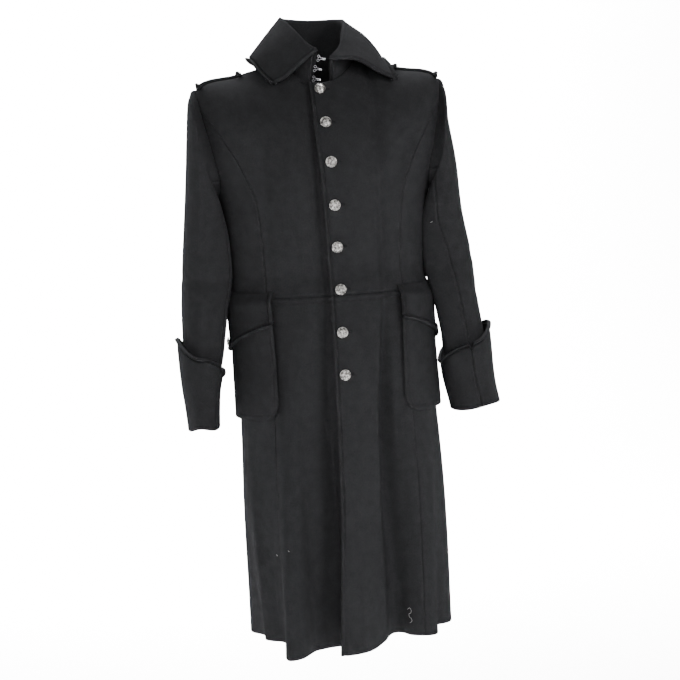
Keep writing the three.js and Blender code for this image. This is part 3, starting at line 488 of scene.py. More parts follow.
# ---------------------------------------------------------------- edges and seams
# mesh lines near each kind of edge: their distances from it
DENSE = {
    "edge": (0, 0.25, 0.6, 1.1, 1.8, 2.8, 4.0, 5.2, 6.1, 6.7, 7.2, 7.7, 8.4, 9.6, 11.8),
    "rim": (0, 0.25, 0.6, 1.1, 1.9, 2.8, 3.8, 5.0, 5.9, 6.6, 7.2, 7.8, 8.5, 9.6, 11.6),
    "seam": (0, 0.6, 1.3, 2.3, 3.6, 5.2, 7.4),
    "join": (0, 0.6, 1.3, 2.3, 4.0),
    "lap": (0, 0.6, 1.3, 2.4, 4.4, 7.0, 9.2, 10.3, 11.0, 11.7, 12.8, 15),
    "hem": (0, 0.3, 0.8, 1.6, 3.0, 5.5),
}
# unevenness of the cloth: length of its waves and their height, broad, fine, and puckered along a seam
BROAD, FINE, PUCKER = (120, 0.8), (34, 0.12), (17, 0.32)
# how deep a seam's turned-in allowance is
ALLOWANCE = 4.5


def stations(length, first, last, step):
    """Places along a cut from nought to one: close together near its ends as each kind of edge needs, even
    between."""
    lo = np.array(DENSE[first], float)
    hi = length - np.array(DENSE[last], float)[::-1]
    n = max(2, int(round((hi[0] - lo[-1]) / step)) + 1)
    places = np.concatenate([lo[:-1], np.linspace(lo[-1], hi[0], n), hi[1:]])
    return places / length


def edge_height(d, kind, ridge):
    """Height of the cloth at a distance from its edge: rolled over and ridged at a stitched edge, drawn in at a
    seam, and only rolled over at a hem."""
    roll = -1.3 * (1 - np.sqrt(1 - np.clip(1 - d / 1.3, 0, 1) ** 2))
    if kind == "edge":
        return roll + ridge * bump((d - 3.4) / 3.9) - 1.5 * bell((d - 7.4) / 1.2)
    if kind == "rim":
        return roll + 2.5 * ridge * bump((d - 3.4) / 3.8) - 3.0 * bell((d - 7.3) / 1.3)
    if kind == "seam":
        return -1.1 * bell(d / 1.4) + 0.45 * bell((d - 4.4) / 2.4)
    if kind == "join":
        return -0.6 * bell(d / 1.2)
    if kind == "lap":
        return -2.2 * bell(d / 1.6) + 0.7 * bump((d - 5.5) / 5) - 1.4 * bell((d - 11) / 1.1)
    return roll


def run_lengths(points, axis):
    """Distance along each grid line from its first point."""
    step = np.linalg.norm(np.diff(points, axis=axis), axis=-1)
    lead = np.zeros_like(np.take(step, [0], axis=axis))
    return np.cumsum(np.concatenate([lead, step], axis=axis), axis=axis)


def cloth_grid(place, away, size, kinds, uneven=0.6, step=None, extra=None):
    """A piece of cloth as a grid: its form, moved along its normal by edges, seams, puckers and unevenness."""
    sizes = bpy.context.scene.coat_sizes
    step = step or sizes.step / MM
    left, right, top, foot = kinds
    f, s = np.meshgrid(stations(size[0], left, right, step), stations(size[1], top, foot, step))
    form = place(f, s)
    n = facing(form, away(form))
    across, down = run_lengths(form, 1), run_lengths(form, 0)
    gaps = (across, across[:, -1:] - across, down, down[-1:] - down)
    height = ripple(form, BROAD[0], 1) * uneven * BROAD[1] + ripple(form, FINE[0], 2) * uneven * FINE[1]
    deep = np.zeros_like(height)
    for gap, kind in zip(gaps, kinds):
        height += edge_height(gap, kind, sizes.ridge / MM)
        if kind in ("seam", "lap", "edge", "rim"):
            height += ripple(form, PUCKER[0], 3) * PUCKER[1] * np.exp(-gap / 7) * smooth(gap / 3)
        if kind in ("seam", "lap", "join"):
            deep = np.maximum(deep, ALLOWANCE * bell(gap / 1.2))
    if extra is not None:
        height += extra(form)
    return {"points": form + n * height[..., None], "normals": n, "gaps": gaps, "uv": (across, down), "deep": deep}


def build(name, points, quads, tris, material, uv=None):
    """A mesh object at the origin from points in millimetres, four-sided and three-sided faces."""
    corners = np.concatenate([quads.ravel(), tris.ravel()])
    starts = np.concatenate([np.arange(len(quads)) * 4, quads.size + np.arange(len(tris)) * 3])
    mesh = bpy.data.meshes.new(name)
    mesh.vertices.add(len(points))
    mesh.vertices.foreach_set("co", (points * MM).astype(np.float32).ravel())
    mesh.loops.add(len(corners))
    mesh.loops.foreach_set("vertex_index", corners.astype(np.int32))
    mesh.polygons.add(len(starts))
    mesh.polygons.foreach_set("loop_start", starts.astype(np.int32))
    mesh.update(calc_edges=True)
    mesh.polygons.foreach_set("use_smooth", np.ones(len(starts), bool))
    if uv is not None:
        layer = mesh.uv_layers.new(name="cloth")
        layer.data.foreach_set("uv", (uv[corners] * MM).astype(np.float32).ravel())
    mesh.validate()
    mesh.materials.append(material)
    obj = bpy.data.objects.new(name, mesh)
    bpy.context.collection.objects.link(obj)
    return obj


def grid_quads(rows, cols, start=0, closed=False):
    """Four-sided faces of a grid whose points are numbered row by row; closed joins the last column to the first."""
    i, j = np.meshgrid(np.arange(cols if closed else cols - 1), np.arange(rows - 1))
    k = (i + 1) % cols
    return start + np.stack([j * cols + i, j * cols + k, (j + 1) * cols + k, (j + 1) * cols + i], -1).reshape(-1, 4)


def end_fans(rows, cols):
    """Three-sided faces that close the first and last ring of a closed grid on two points numbered after it."""
    i = np.arange(cols)
    k, count = (i + 1) % cols, rows * cols
    low = np.stack([k, i, np.full(cols, count)], -1)
    top = np.stack([count - cols + i, count - cols + k, np.full(cols, count + 1)], -1)
    return np.concatenate([low, top])


def outward(points, quads):
    """Turns the faces of a closed mesh outwards, by the sign of its volume."""
    a, b, c, d = (points[quads[:, k]] for k in range(4))
    volume = np.sum(np.cross(a, b) * c) + np.sum(np.cross(a, c) * d)
    return quads if volume > 0 else quads[:, ::-1]


def wall(name, grid, thick, material):
    """A closed wall of cloth: the grid outside, the same grid moved in by the thickness, and rims between.
    At a seam the inside reaches deeper, as the turned-in allowance does."""
    outer = grid["points"]
    rows, cols = outer.shape[:2]
    count = rows * cols
    inner = outer - grid["normals"] * (thick + grid["deep"])[..., None]
    points = np.concatenate([outer.reshape(-1, 3), inner.reshape(-1, 3)])
    faces = [grid_quads(rows, cols), grid_quads(rows, cols, count)[:, ::-1]]
    index = np.arange(count).reshape(rows, cols)
    for line in (index[0], index[:, -1], index[-1][::-1], index[::-1, 0]):
        a, b = line[:-1], line[1:]
        faces.append(np.stack([a, a + count, b + count, b], -1))
    uv = np.stack(grid["uv"], -1).reshape(-1, 2)
    quads = outward(points, np.concatenate(faces))
    return build(name, points, quads, NO_TRIS, material, np.concatenate([uv, uv]))


def line_on(grid, side, gap, ends=(0.0, 1.0)):
    """Points on the cloth, each with its normal, at a set distance from one of its four edges: one for each grid
    line that crosses it."""
    far, both = grid["gaps"][side], np.concatenate([grid["points"], grid["normals"]], -1)
    if side > 1:
        far, both = far.T, both.transpose(1, 0, 2)
    if side % 2:
        far, both = far[:, ::-1], both[:, ::-1]
    line = np.array([[np.interp(gap, g, row[:, k]) for k in range(6)] for g, row in zip(far, both)])
    a, b = (int(end * (len(line) - 1)) for end in ends)
    return line[a:b + 1]


def resample(line, step):
    """Points at even distances along a line."""
    far = run_lengths(line, 0)
    at = np.linspace(0, far[-1], max(2, int(far[-1] / step)))
    return np.stack([np.interp(at, far, line[:, k]) for k in range(line.shape[1])], -1)


def turns(count):
    """Angles spread evenly round a circle."""
    return np.arange(count) / count * 2 * np.pi


def tube(line, radius, sides):
    """A round cord carried along a line with no twist, its rings drawn together at both ends."""
    t = unit(np.gradient(line, axis=0))
    ref = np.zeros_like(t)
    ref[0] = unit(np.cross(t[0], [0.31, 0.22, 0.92]))
    for k in range(1, len(t)):
        ref[k] = unit(ref[k - 1] - t[k] * (ref[k - 1] @ t[k]))
    side = np.cross(t, ref)
    ang = turns(sides)
    r = np.full(len(line), float(radius))
    r[0] = r[-1] = radius * 0.35
    ring = (line[:, None] + ref[:, None] * (np.cos(ang)[None, :, None] * r[:, None, None])
            + side[:, None] * (np.sin(ang)[None, :, None] * r[:, None, None]))
    points = np.concatenate([ring.reshape(-1, 3), line[:1], line[-1:]])
    return points, grid_quads(len(line), sides, 0, True), end_fans(len(line), sides)


def trim(name, parts, material, slot, *nodes):
    """One mesh from many small closed bodies, each given as points, four-sided and three-sided faces. It rides on
    the coat and stands for its CAD nodes, if it has any. Its slot is not used."""
    starts = np.cumsum([0] + [len(points) for points, _, _ in parts[:-1]])
    points = np.concatenate([p for p, _, _ in parts])
    quads = np.concatenate([q + n for (_, q, _), n in zip(parts, starts)])
    tris = np.concatenate([t + n for (_, _, t), n in zip(parts, starts)])
    obj = build(name, points, quads, tris, material)
    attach(obj, "root")
    if nodes:
        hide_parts(*nodes)


def stitches(line, length, seed):
    """A row of stitches: a short flat bead for each, sunk in the cloth, with small differences between them."""
    rng = np.random.default_rng(seed)
    both = resample(line, length)
    p, n = both[:, :3], unit(both[:, 3:])[:-1]
    a, b = p[:-1], p[1:]
    way = unit(b - a)
    side = np.cross(n, way)
    mid = (a + b) / 2 + n * 0.12 + side * rng.normal(0, 0.06, (len(a), 1))
    half = length * 0.36 * rng.uniform(0.92, 1.06, (len(a), 1))
    wide, tall = 0.42, 0.34
    rows = []
    for along, size in ((-1.0, 0.35), (-0.6, 1.0), (0.6, 1.0), (1.0, 0.35)):
        for cs, sn in ((1, 0), (0, 1), (-1, 0), (0, -1)):
            rows.append(mid + way * half * along + side * wide * size * cs + n * tall * size * sn)
    points = np.stack(rows, 1).reshape(-1, 3)
    one = np.concatenate([grid_quads(4, 4, 0, True), [[3, 2, 1, 0], [12, 13, 14, 15]]])
    quads = (one[None] + (np.arange(len(a)) * 16)[:, None, None]).reshape(-1, 4)
    return points, outward(points, quads), NO_TRIS


# ---------------------------------------------------------------- pieces of cloth
def arm_curve(part):
    """Angle in front, angle behind and ring of the armhole, from the shoulder to the underarm."""
    return np.moveaxis(curve(ARMHOLE, np.asarray(part) * (len(ARMHOLE) - 1)), -1, 0)


def limit(s, which):
    """Outer line of a front or back: down the shoulder seam, round the armhole, then down the panel seam."""
    column, part, marks = OUTER[which]
    t = np.interp(s, marks, (0, 1, 2, 3))
    arm = arm_curve(np.clip(t - 1, 0, 1) * part)
    top = float(arm_curve(part)[2])
    low = top + (WAIST_SEAM - top) * np.clip(t - 2, 0, 1)
    ring = np.where(t < 1, t * SHOULDER, np.where(t < 2, arm[2], low))
    deg = np.where(t < 1, 90.0, np.where(t < 2, arm[column], by_ring(SEAMS, low, 1 + column)))
    return deg, ring


def seam_at(column, sign=1, turn=0):
    """Reads the angle of the front (1) or back (2) panel seam at a ring, on the left or, sign turned, the right."""
    return lambda ring: turn + sign * by_ring(SEAMS, ring, column)


def front_grid(side):
    """Front of the bodice: between its edge and the shoulder, armhole and panel seam."""
    def place(f, s):
        deg, ring = limit(s, "front")
        start = left_edge(ring) if side > 0 else -deg_at(RIGHT_EDGE_X, ring)
        d = start + (deg - start) * f
        return above(d, ring, lap(x_at(d, ring), ring)) if side > 0 else body(-d, ring)
    panel = 1 if side > 0 else 2
    return cloth_grid(place, from_axis, (200, 420), ("edge", "seam", "seam", "seam"),
                      extra=lambda form: creases(form, panel))


def back_grid():
    """Back of the bodice, one piece from armhole to armhole."""
    def place(f, s):
        deg, ring = limit(s, "back")
        return body(deg + (360 - 2 * deg) * f, ring)
    return cloth_grid(place, from_axis, (400, 460), ("seam",) * 4, extra=creases)


def side_grid(side):
    """Side of the bodice, between the lower armhole, the two panel seams and the waist: each point is the sum of
    its places between both pairs of edges, less its place between the four corners."""
    def place(f, s):
        down, up = 1 - FRONT_PART, 1 - BACK_PART
        split = down / (down + up)

        def top(f):
            fore = arm_curve(FRONT_PART + down * np.clip(f / split, 0, 1))
            aft = arm_curve(1 - up * np.clip((f - split) / (1 - split), 0, 1))
            return np.where(f <= split, fore[0], aft[1]), np.where(f <= split, fore[2], aft[2])

        def seam(which, s):
            first = top(np.zeros(1) + which)[1][0]
            ring = first + (WAIST_SEAM - first) * s
            return by_ring(SEAMS, ring, 1 + which), ring
        fore, aft, high = seam(0, s), seam(1, s), top(f)
        corner = [(float(c[0][0]), float(c[1][0])) for c in (top(np.zeros(1)), top(np.ones(1)))]
        deg, ring = (
            (1 - s) * high[k] + (1 - f) * fore[k] + f * aft[k]
            - (1 - s) * ((1 - f) * corner[0][k] + f * corner[1][k]) for k in (0, 1))
        return body(deg * side, ring)
    return cloth_grid(place, from_axis, (230, 240), ("seam",) * 4, extra=creases)


def skirt_grid(start, end, width, sides=("join", "join"), panel=0):
    """A skirt panel between two lines that run from the waist seam to the hem."""
    def place(f, s):
        ring = WAIST_SEAM + (HEM - WAIST_SEAM) * s
        a, b = start(ring), end(ring)
        d = a + (b - a) * f
        return above(d, ring, lap(x_at(d, ring), ring)) if panel == 1 else body(d, ring)
    return cloth_grid(place, from_axis, (width, 660), (*sides, "lap", "hem"),
                      extra=lambda form: creases(form, panel))


def skirt_grids():
    """The five panels of the skirt."""
    return {
        "skirt_front_left": skirt_grid(left_edge, seam_at(1), 165, ("edge", "join"), 1),
        "skirt_front_right": skirt_grid(
            seam_at(1, -1), lambda ring: deg_at(RIGHT_EDGE_X, ring), 165, ("join", "edge"), 2),
        "skirt_side_left": skirt_grid(seam_at(1), seam_at(2), 260),
        "skirt_side_right": skirt_grid(seam_at(2, -1), seam_at(1, -1), 260),
        "skirt_back": skirt_grid(seam_at(2), seam_at(2, -1, 360), 300),
    }


def sleeve_point(side, deg, ring):
    """A point of a sleeve: on a smooth curve from the armhole through slanting ovals to the wrist, with a roped
    head that stands up over the armhole seam."""
    deg, ring = np.broadcast_arrays(np.asarray(deg, float), np.asarray(ring, float))
    turn = deg % 360
    fore = turn <= 180
    arm = arm_curve(np.where(fore, turn, 360 - turn) / 180)
    c, n = np.cos(turn * RAD), np.sin(turn * RAD)
    last = len(SLEEVES[side]) - 1

    def oval(row):
        row = np.clip(row, 0, last)
        xo, zo, xi, zi, df, db, y = np.moveaxis(SLEEVES[side][row], -1, 0)
        wrapped = SLEEVE_WRAP[side][row] * (2 * np.clip(-c, 0, 1) * np.clip(n, 0, 1)) ** 2
        return np.stack([(xo + xi) / 2 + (xo - xi) / 2 * c - wrapped, y - np.where(n > 0, df, db) * n,
                         (zo + zi) / 2 + (zo - zi) / 2 * c], -1)
    start = above(np.where(fore, arm[0], arm[1]), arm[2], -SLEEVE_TUCK)
    low = np.clip(np.floor(ring).astype(int), 0, last)
    row = low[..., None]
    p1 = np.where(row == 0, start, oval(low - 1))
    p2 = oval(low)
    p0 = np.where(row == 0, 2 * start - p2, np.where(row == 1, start, oval(low - 2)))
    p3 = np.where(row == last, 2 * p2 - p1, oval(low + 1))
    p = glide(p0, p1, p2, p3, np.clip(ring - low, -0.2, 1.2)[..., None])
    up = unit(np.stack([np.full_like(c, 0.45), -0.25 * n, np.full_like(c, 0.85)], -1))
    rope = ROPE * np.sin(np.pi * np.clip(ring / 0.8, 0, 1)) * np.clip(c + 0.35, 0, 1)
    crease = ELBOW_CREASE * bump((ring - 5.1) / 0.5) * np.clip(np.sin((turn - 20) * RAD), 0, 1)
    p = p + up * rope[..., None] + np.stack([crease * 0.4, -crease, np.zeros_like(crease)], -1)
    return p * np.array([side, 1, 1])


def sleeve_mid(side, ring):
    """The middle of a sleeve, halfway between its outer and inner side."""
    return (sleeve_point(side, 0, ring) + sleeve_point(side, 180, ring)) / 2


def hem_ring(side, deg):
    """Ring of a sleeve's hem: drawn up a little in front, where the sleeve breaks over the hand."""
    return ARM_END - HEM_RISE[side][1] * bump(wrap(deg - HEM_RISE[side][0]) / 55)


def sleeve_grid(side, under, width):
    """Upper or under sleeve between its two seams."""
    keep = {}

    def place(f, s):
        fore = by_ring(SLEEVE_FRONT_SEAM[side], ARM_END * s, 1)
        first, last = (fore, SLEEVE_BACK_SEAM) if under else (SLEEVE_BACK_SEAM - 360, fore)
        keep["deg"] = first + (last - first) * f
        keep["ring"] = hem_ring(side, keep["deg"]) * s
        return sleeve_point(side, keep["deg"], keep["ring"])

    def extra(form):
        total = np.zeros(form.shape[:-1])
        for which, at, mid, half, tall, turn, deep in SLEEVE_CREASES:
            if which == side:
                a = wrap(keep["deg"] - at) / half
                total += deep * bump(a / 1.5) * bump((keep["ring"] - mid - turn * a) / tall / 1.5)
        return total
    return cloth_grid(place, lambda form: form - sleeve_mid(side, keep["ring"]), (width, 660),
                      ("seam", "seam", "seam", "hem"), extra=extra)


def round_four(four, deg):
    """A value round the sleeve from its outer side, front, inner side and back."""
    c, n = np.cos(deg * RAD), np.sin(deg * RAD)
    return np.where(c > 0, four[0], four[2]) * c * c + np.where(n > 0, four[1], four[3]) * n * n


def cuff_grid(side):
    """Turned-back cuff: the sleeve's form moved out, flared at its slanting top edge, open a little at the seam."""
    keep = {}

    def place(f, s):
        deg = WRIST_SEAM[side] + CUFF_OPEN + f * (360 - 2 * CUFF_OPEN)
        notch = 0.10 * bell(np.minimum(f, 1 - f) * 360 / 3.2)
        ring = round_four(CUFF_TOP[side], deg) + notch
        ring = ring + (hem_ring(side, deg) + 0.05 - ring) * s
        p = sleeve_point(side, deg, ring)
        keep["away"] = p - sleeve_mid(side, ring)
        n = normal_of(lambda d, r: sleeve_point(side, d, r), deg, ring, 0.6, 0.02, keep["away"])
        off = CUFF_GAP + round_four(CUFF_FLARE[side], deg) * (1 - smooth(s * 1.15))
        return p + n * off[..., None]
    return cloth_grid(place, lambda form: keep["away"], (340, 125), ("seam", "seam", "rim", "hem"), step=3.6)


def collar_place(f, s):
    """Stand and leaf as one strip: up the stand, over the fold, down the leaf to its edge, on a smooth curve."""
    row = np.asarray(f) * (len(COLLAR) - 1)
    neck, x, y, z, ex, ey, ez, belly, drop1, drop2 = np.moveaxis(curve(COLLAR, row), -1, 0)
    fold, edge = np.stack([x, y, z], -1), np.stack([ex, ey, ez], -1)
    out = unit(np.stack([x, y + 5, 0 * x], -1))
    foot = body(neck, np.zeros_like(neck)) - UP * STAND_FOOT[0] - out * STAND_FOOT[1]
    leaf = edge - fold
    puff = out * 0.8 + UP * 0.5
    keys = np.stack([
        foot,
        foot + (fold - foot) * 0.45 + out * 1.5,
        fold - out * 2.6 - UP * 6,
        fold - out * 1.6 + UP * 1.6,
        fold + out * 2.6 + UP * 4.6,
        fold + out * 6.6 + UP * 1.0,
        fold + leaf * 0.36 + out * 4.5 + puff * belly[..., None] + UP * drop1[..., None],
        fold + leaf * 0.70 + out * 2.0 + puff * (belly * 0.8)[..., None] + UP * drop2[..., None],
        edge], -2)
    marks = (0, 0.15, 0.30, 0.345, 0.385, 0.42, 0.62, 0.82, 1.0)
    row = np.interp(s, marks, np.arange(len(marks)))
    first, end = 2 * keys[..., :1, :] - keys[..., 1:2, :], 2 * keys[..., -1:, :] - keys[..., -2:-1, :]
    rows = np.concatenate([first, keys, end], -2)
    i = np.clip(np.floor(row).astype(int), 0, len(marks) - 2)
    four = [np.take_along_axis(rows, (i + k)[..., None, None], -2)[..., 0, :] for k in range(4)]
    return glide(*four, (row - i)[..., None])


def collar_grid():
    """The collar's strip with rolled, stitched front ends and outer edge."""
    keep = {}

    def place(f, s):
        keep["s"] = s
        return collar_place(f, s)

    def away(form):
        w = from_axis(form, 30)
        w[:int(len(w) * 0.75)] = 0
        return w

    def flat_at_fold(form):
        across = run_lengths(form, 1)
        gap = np.minimum(across, across[:, -1:] - across)
        ridge = bpy.context.scene.coat_sizes.ridge / MM
        return (edge_height(gap, "hem", ridge) - edge_height(gap, "rim", ridge)) * bell((keep["s"] - FOLD_AT) / 0.10)
    return cloth_grid(place, away, (560, 165), ("rim", "rim", "seam", "rim"), 0.4, step=3.4, extra=flat_at_fold)


# a pocket's edge in section, from the coat outwards: distance in from the face's edge, height over the coat
GUSSET = np.array([
    [5.5, 0.3], [5.2, 1.6], [4.2, 3.2], [2.8, 5.2], [1.4, 7.2], [0.4, 8.6], [0.0, 9.6], [0.3, 10.5], [1.2, 11.1],
    [2.6, 11.4], [4.2, 11.3], [5.6, 10.9], [6.6, 10.4], [7.2, 10.2], [7.8, 10.4], [9.0, 10.9], [11.5, 11.0],
])


def pocket_line(length, step=5.0):
    """Places and heights across a pocket: the gusset, the stitched edge, the face, and the same at the other side."""
    inner, high = GUSSET[-1]
    mid = np.linspace(inner, length - inner, int((length - 2 * inner) / step))[1:-1]
    place = np.concatenate([GUSSET[:, 0], mid, length - GUSSET[::-1, 0]])
    return place / length, np.concatenate([GUSSET[:, 1], np.full(len(mid), high), GUSSET[::-1, 1]])


def pocket_grid(side):
    """Patch pocket standing off the hip on a narrow gusset, its lower corners drawn in to a quarter circle."""
    wide, tall, corner = POCKET["wide"], POCKET["tall"], POCKET["corner"]
    (fx, hx), (fy, hy) = pocket_line(wide), pocket_line(tall)
    f, s = np.meshgrid(fx, fy)
    h = np.minimum(*np.meshgrid(hx, hy))
    p = np.clip(1 - np.minimum(f, 1 - f) * wide / corner, 0, 1)
    q = np.clip(1 - (1 - s) * tall / corner, 0, 1)
    draw = (p - p * np.sqrt(1 - q * q / 2)) * corner / wide
    f = f + np.where(f < 0.5, draw, -draw)
    s = s - (q - q * np.sqrt(1 - p * p / 2)) * corner / tall
    deg = (POCKET["front"] + (POCKET["back"] - POCKET["front"]) * f) * side
    ring = POCKET["top"] + (POCKET["foot"] - POCKET["top"]) * s
    form = body(deg, ring)
    sag = 1.5 * bump((f - 0.5) / 0.6) * bump((s - 0.75) / 0.5)
    uneven = (ripple(form, 80, 70 + side) * 0.8 + ripple(form, 30, 72) * 0.2) * smooth((h - 6) / 5)
    p = above(deg, ring, h * 0.86 + sag + uneven)
    uv = run_lengths(p, 1), run_lengths(p, 0)
    return {"points": p, "normals": facing(p, from_axis(p)), "uv": uv, "deep": np.zeros(h.shape)}


def ring_at(z):
    """Ring at a height below the waist."""
    rings = np.linspace(5, HEM, 400)
    return np.interp(-np.asarray(z), -curve(RINGS, rings)[:, 4], rings)


def flap_grid(side):
    """Pointed pocket flap hinged on the coat above the pocket and lying on its face."""
    def place(f, s):
        to_point = 1 - np.abs(f - 0.5) * 2
        drop = FLAP["corner"] + (FLAP["point"] - FLAP["corner"]) * to_point ** 1.15
        deg = (FLAP["front"] + (FLAP["back"] - FLAP["front"]) * f) * side
        off = FLAP["hinge"] + (FLAP["lift"] - FLAP["hinge"]) * smooth(s * 3.2) + 1.2 * s ** 3
        return above(deg, ring_at(FLAP["top"] - drop * s), off)
    return cloth_grid(place, from_axis, (270, 90), ("rim", "rim", "seam", "rim"), 0.4, step=4.0)


def strap_grid(side, first, last, sizes, kinds, step=3.5):
    """A strip over the shoulder seam, following the coat at a set height."""
    half = sizes["half"]

    def place(f, s):
        ring = first + (last - first) * s
        y = -half + 2 * half * f
        rows = curve(RINGS, ring)
        deg = 90 + np.arcsin(y / np.where(y > 0, rows[..., 3], rows[..., 2])) / RAD
        return above(deg * side, ring, sizes["high"] + 0 * f)
    return cloth_grid(place, from_axis, (2 * half, 78 * (last - first)), kinds, 0.15, step=step)


# ---------------------------------------------------------------- finishes
def node(tree, kind, wires=None, **values):
    """A shader node with its plain values set, and its sockets given a value or fed by another node's output."""
    made = tree.nodes.new(kind)
    for key, value in values.items():
        setattr(made, key, value)
    for key, value in (wires or {}).items():
        if isinstance(value, bpy.types.NodeSocket):
            tree.links.new(value, made.inputs[key])
        else:
            made.inputs[key].default_value = value
    return made


def nap_group():
    """Milled wool: puts out a shade that varies with fibre, cloud and fleck, and a height for the bump."""
    g = bpy.data.node_groups.new("Wool nap", "ShaderNodeTree")
    for name, way, kind in (("Dark", "INPUT", "Color"), ("Light", "INPUT", "Color"), ("Fibre", "INPUT", "Float"),
                            ("Shade", "OUTPUT", "Color"), ("Height", "OUTPUT", "Float")):
        g.interface.new_socket(name, in_out=way, socket_type="NodeSocket" + kind)
    enter = g.nodes.new("NodeGroupInput").outputs
    here = g.nodes.new("ShaderNodeTexCoord").outputs["Object"]

    def noise(scale, detail, rough=0.5):
        wires = {"Vector": here, "Scale": scale, "Detail": detail, "Roughness": rough}
        return node(g, "ShaderNodeTexNoise", wires).outputs["Fac"]

    def mix_in(value, share, rest):
        wires = {0: value, 1: share, 2: rest}
        return node(g, "ShaderNodeMath", wires, operation="MULTIPLY_ADD").outputs[0]
    fine, cloud, fleck = noise(enter["Fibre"], 6.0, 0.75), noise(60.0, 3.0), noise(260.0, 2.0)
    shade = mix_in(fine, 0.8, mix_in(cloud, 0.2, 0.0))
    spread = node(g, "ShaderNodeMapRange", {"Value": shade, "From Min": 0.36, "From Max": 0.64}).outputs[0]
    mix = node(g, "ShaderNodeMix", {0: spread, 6: enter["Dark"], 7: enter["Light"]}, data_type="RGBA")
    node(g, "NodeGroupOutput", {"Shade": mix.outputs[2], "Height": mix_in(fleck, 0.5, fine)})
    return g


def plain(name, colour, rough, metal=0.0, gloss=0.2):
    """An even finish."""
    made = bpy.data.materials.get(name)
    if made:
        return made
    m = bpy.data.materials.new(name)
    m.use_nodes = True
    shader = m.node_tree.nodes["Principled BSDF"]
    for socket, value in (("Base Color", (*colour, 1)), ("Roughness", rough), ("Specular IOR Level", gloss),
                          ("Metallic", metal)):
        shader.inputs[socket].default_value = value
    return m


def black_thread():
    """The thread of the stitches and buttonholes."""
    return plain("Black thread", (0.004, 0.004, 0.005), 0.85)


def pewter(colour):
    """Cast button metal: clouded at random from light to dark, with a satin gloss."""
    m = plain("Pewter", colour, 0.34, 0.9)
    t = m.node_tree
    here = t.nodes.new("ShaderNodeTexCoord").outputs["Object"]
    cloud = node(t, "ShaderNodeTexNoise", {"Vector": here, "Scale": 300.0, "Detail": 5.0})
    ramp = node(t, "ShaderNodeValToRGB", {"Fac": cloud.outputs["Fac"]})
    for stop, place, share in zip(ramp.color_ramp.elements, (0.40, 0.62), (0.32, 1.7)):
        stop.position, stop.color = place, (*[min(1, c * share) for c in colour], 1)
    t.links.new(ramp.outputs["Color"], t.nodes["Principled BSDF"].inputs["Base Color"])
    return m


def coat_wool():
    """Matte milled wool: nap in colour and bump, no gloss."""
    name, tint, spread = "Black wool", bpy.context.scene.coat_sizes.wool, 0.26
    made = bpy.data.materials.get(name)
    if made:
        return made
    m = plain(name, tint, 0.94, gloss=0.0)
    t = m.node_tree
    nap = node(t, "ShaderNodeGroup", node_tree=nap_group())
    for socket, share in (("Dark", 1 - spread), ("Light", 1 + spread)):
        nap.inputs[socket].default_value = (*[c * share for c in tint], 1)
    nap.inputs["Fibre"].default_value = 620.0
    relief = node(t, "ShaderNodeBump", {"Strength": 0.5, "Distance": 0.0006, "Height": nap.outputs["Height"]})
    shader = t.nodes["Principled BSDF"].inputs
    t.links.new(nap.outputs["Shade"], shader["Base Color"])
    t.links.new(relief.outputs["Normal"], shader["Normal"])
    return m


def cut(name, grid, rests_on, *nodes, thick=None):
    """A piece of cloth from its grid: a closed wall that rides on the coat and stands for its CAD nodes (the one of
    its own name where none is given)."""
    obj = wall(f"cloth_{name}", grid, thick or bpy.context.scene.coat_sizes.cloth / MM, coat_wool())
    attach(obj, "root")
    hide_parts(*(nodes or [name]))


# ---------------------------------------------------------------- buttons and hooks
BUTTON_HALF = np.array([
    [0, 0], [5.0, 0], [8.6, 0.35], [9.6, 0.9], [10.0, 1.7], [9.95, 2.5], [9.6, 3.1], [9.1, 3.3], [8.6, 3.15],
    [8.2, 2.85], [7.8, 2.9], [7.3, 3.35], [6.5, 3.9], [5.5, 4.35], [4.4, 4.65], [3.2, 4.85], [1.8, 4.97], [0, 5.0],
])


def plane(out):
    """The way out, sideways and up of a small flat thing that faces 'out'."""
    side = unit(np.cross(UP, out))
    return out, side, np.cross(out, side)


def button_parts(at, out, radius):
    """A domed button turned from its half outline, with a raised eight-petalled rosette on the dome."""
    seg, scale = 64, radius / 10
    n, side, up = plane(out)
    half = BUTTON_HALF[1:-1] * scale
    row = np.linspace(0, len(half) - 1, 40)
    prof = curve(half, row)
    ang = turns(seg)
    r, h = prof[:, :1] + 0 * ang, prof[:, 1:] + 0 * ang
    face = smooth((row - 10.5) / 1.5)[:, None]
    petal = (np.cos(8 * ang)[None, :] * bump((r - 3.6) / 2.4) * 0.55 + bump(r / 1.7) * 0.5
             - 0.5 * bump((r - 7.2) / 0.9))
    h = h + face * petal * scale
    p = at + side * (r * np.cos(ang))[..., None] + up * (r * np.sin(ang))[..., None] + n * h[..., None]
    points = np.concatenate([p.reshape(-1, 3), [at], [at + n * (5.3 * scale)]])
    return points, grid_quads(len(p), seg, 0, True), end_fans(len(p), seg)


def button_places():
    """Where each front button sits, and the way it faces."""
    rings = np.linspace(0.05, HEM, 2000)
    found = []
    for x, z, off in BUTTONS:
        ring = np.interp(-z, -body(deg_at(x, rings), rings)[:, 2], rings)
        found.append(spot(deg_at(x, ring), ring, float(lap(np.array(x), ring)) + off))
    return found


def pocket_button_place(side):
    """On the flap, just above its point."""
    return spot(90.0 * side, ring_at(FLAP["top"] - FLAP["point"] + 17), FLAP["lift"] + 1.0)


def stadium(length, width, count):
    """A long loop with round ends, in its own plane: a straight and a half circle, then both again turned round."""
    straight, r = length - width, width / 2
    half = straight + np.pi * r
    at = np.arange(count) / count * 2 * half
    t, flip = at % half, np.where(at < half, 1, -1)
    a = np.maximum(t - straight, 0) / r
    return np.where(a > 0, straight / 2 + r * np.sin(a), t - straight / 2) * flip, -r * np.cos(a) * flip


